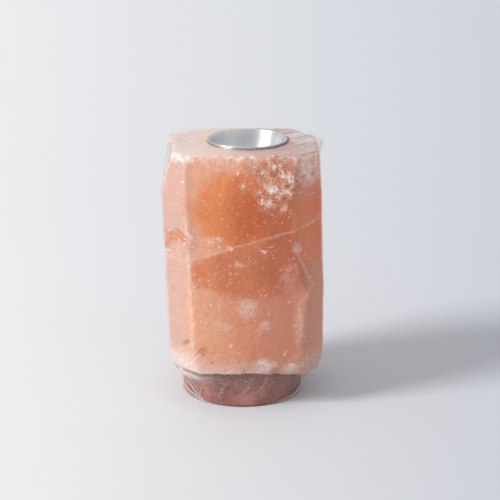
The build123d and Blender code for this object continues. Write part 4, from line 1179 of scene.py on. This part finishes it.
innerRanges = {"detail": 4.0, "tones": (0.35, 0.65), "roughness": (0.3, 0.7), "bumpDepth": 0.0002}


def innerMaterial(name):
    # a finish of two tones that a fine cloud pattern mixes, with roughness and bump from the same pattern
    first, second, size, rough, metal, bump = innerLooks[name]
    material, node, coords = newMaterial(name)
    cloud = node("TexNoise", coords, perMm(size), innerRanges["detail"])
    bumps = node("Bump", byName={"Strength": bump, "Distance": innerRanges["bumpDepth"], "Height": cloud})
    surface = node("BsdfPrincipled", byName={
        "Base Color": node("ValToRGB", cloud, stops=[*zip(innerRanges["tones"], (first, second))]), "Metallic": metal,
        "Roughness": node("MapRange", cloud, *innerRanges["roughness"], *rough), "Normal": bumps})
    node("OutputMaterial", surface)
    return material


glassLook = {
    "wave": (perMm(8.0), 2.0),
    "bump": {"Strength": 0.06, "Distance": 0.0005},
    "tint": ((0.3, "f6f7f7"), (0.7, "fcfcfc")),
    "gloss": {"Color": "ffffff", "Roughness": 0.03},
    "mirror": (0.9, 0.05),
}


def glassMaterial():
    # bulb glass, blown: clear, with a bright rim where the wall is seen edge on and a faint ripple
    k = glassLook
    material, node, coords = newMaterial("blownGlass")
    wave = node("TexNoise", coords, *k["wave"])
    bumps = node("Bump", byName={**k["bump"], "Height": wave})
    clear = node("BsdfTransparent", node("ValToRGB", wave, stops=k["tint"]))
    gloss = node("BsdfGlossy", byName={**k["gloss"], "Normal": bumps})
    node("OutputMaterial", node("MixShader", facingMirror(node, bumps, *k["mirror"]), clear, gloss))
    return material


finishes = {slot: innerMaterial(name) for slot, name in slotFinishes.items()}
finishes["wood"] = woodMaterial()
finishes["bulb_glass"] = glassMaterial()
dressed = 0
for row in frame["record"]["subparts"]:
    if row["material_slot"] in finishes:
        cadNodes[row["node"]].data.materials.clear()
        cadNodes[row["node"]].data.materials.append(finishes[row["material_slot"]])
        dressed += 1
print("CAD nodes dressed:", dressed)

# The stage is in metres
stageLook = {
    "floorRadius": 6.0,
    "holeRadius": 0.038,
    "floorRings": 9,
    "floorColumns": 64,
    # the floor's tones, painted light of the key light from the left: lighter on the left and darker to the right in
    # a fan that opens from a point before the camera, and paler near by
    "left": "e7e8e8",
    "right": "cccfd5",
    "near": "f4f4f3",
    "gradient": (-0.15, 0.15),
    "fanStart": 1.3,
    "fanAhead": (-0.9, -0.25),
    "nearRange": (0.5, -0.25, 0.0, 0.3),
    "farRange": (2.5, 5.5),
    # the key light: the way to it, strength and spread
    "keyWay": (-0.774, -0.347, 0.530),
    "keyStrength": 2.4,
    "keyAngleDeg": 19.0,
    # the sky's strength by height, its light, and what is seen of it
    "sky": (0.0, 0.9, 0.50, 0.72),
    "skyLight": "fbfcff",
    "skySeen": "e3e5e8",
}


def makeFloor():
    # flat ring: circles of growing radius round a hole under the base, where the bulb holder comes out
    k = stageLook
    turns = np.linspace(0, 2 * np.pi, k["floorColumns"], endpoint=False)
    radii = k["holeRadius"] + (k["floorRadius"] - k["holeRadius"]) * np.linspace(0, 1, k["floorRings"]) ** 2
    points = np.zeros((k["floorRings"], k["floorColumns"], 3))
    points[..., 0] = radii[:, None] * np.cos(turns) / mm
    points[..., 1] = radii[:, None] * np.sin(turns) / mm
    return addSurface("paperFloor", points[::-1])


def floorMaterial():
    # matt paper sweep, seen only from above so that the underside of the lamp can be looked at
    k = stageLook
    material, node, coords = newMaterial("paperSweep")
    # painted light: the paper is lighter on the left towards the key light, darker to the right and paler near by
    x, y, _ = node("SeparateXYZ", coords).outputs
    fan = node("Math.DIVIDE", x, node("Math.ADD", y, k["fanStart"]))
    faded = node("Math.MULTIPLY", fan, node("MapRange.SMOOTHSTEP", y, *k["fanAhead"]))
    light = node("Mix.RGBA", node("MapRange", y, *k["nearRange"]), k["left"], k["near"])
    tint = node("Mix.RGBA", node("MapRange", faded, *k["gradient"]), light, k["right"])
    far = node("MapRange.SMOOTHSTEP", node("VectorMath.LENGTH", coords), *k["farRange"])
    unseen = node("Math.MAXIMUM", node("NewGeometry", out="Backfacing"), far)
    node("OutputMaterial", node("MixShader", unseen, node("BsdfDiffuse", tint), node("BsdfTransparent")))
    return material


floor = makeFloor()
floor.data.materials.append(floorMaterial())

keyData = bpy.data.lights.new("keyLight", "SUN")
keyData.energy = stageLook["keyStrength"]
keyData.angle = math.radians(stageLook["keyAngleDeg"])
key = bpy.data.objects.new("keyLight", keyData)
aim = np.array(stageLook["keyWay"])
key.rotation_euler = (math.acos(aim[2] / np.linalg.norm(aim)), 0, math.atan2(aim[1], aim[0]) + math.pi / 2)
scene.collection.objects.link(key)

world = bpy.data.worlds.new("studioSky")
scene.world = world
world.use_nodes = True
world.node_tree.nodes.clear()
skyNode = functools.partial(addNode, world.node_tree)
skyPlace = skyNode("SeparateXYZ", skyNode("TexCoord", out="Generated")).outputs
skyRise = skyNode("MapRange", skyPlace[2], *stageLook["sky"])
rays = skyNode("LightPath").outputs
seen = skyNode("Math.MAXIMUM", rays["Is Camera Ray"], rays["Is Glossy Ray"])
seenAll = skyNode("Math.MAXIMUM", seen, rays["Is Transmission Ray"])
skyLight = skyNode("Background", stageLook["skyLight"], skyRise)
skySeen = skyNode("Background", stageLook["skySeen"], 1.0)
skyNode("OutputWorld", skyNode("MixShader", seenAll, skyLight, skySeen))
print("stage and light set")
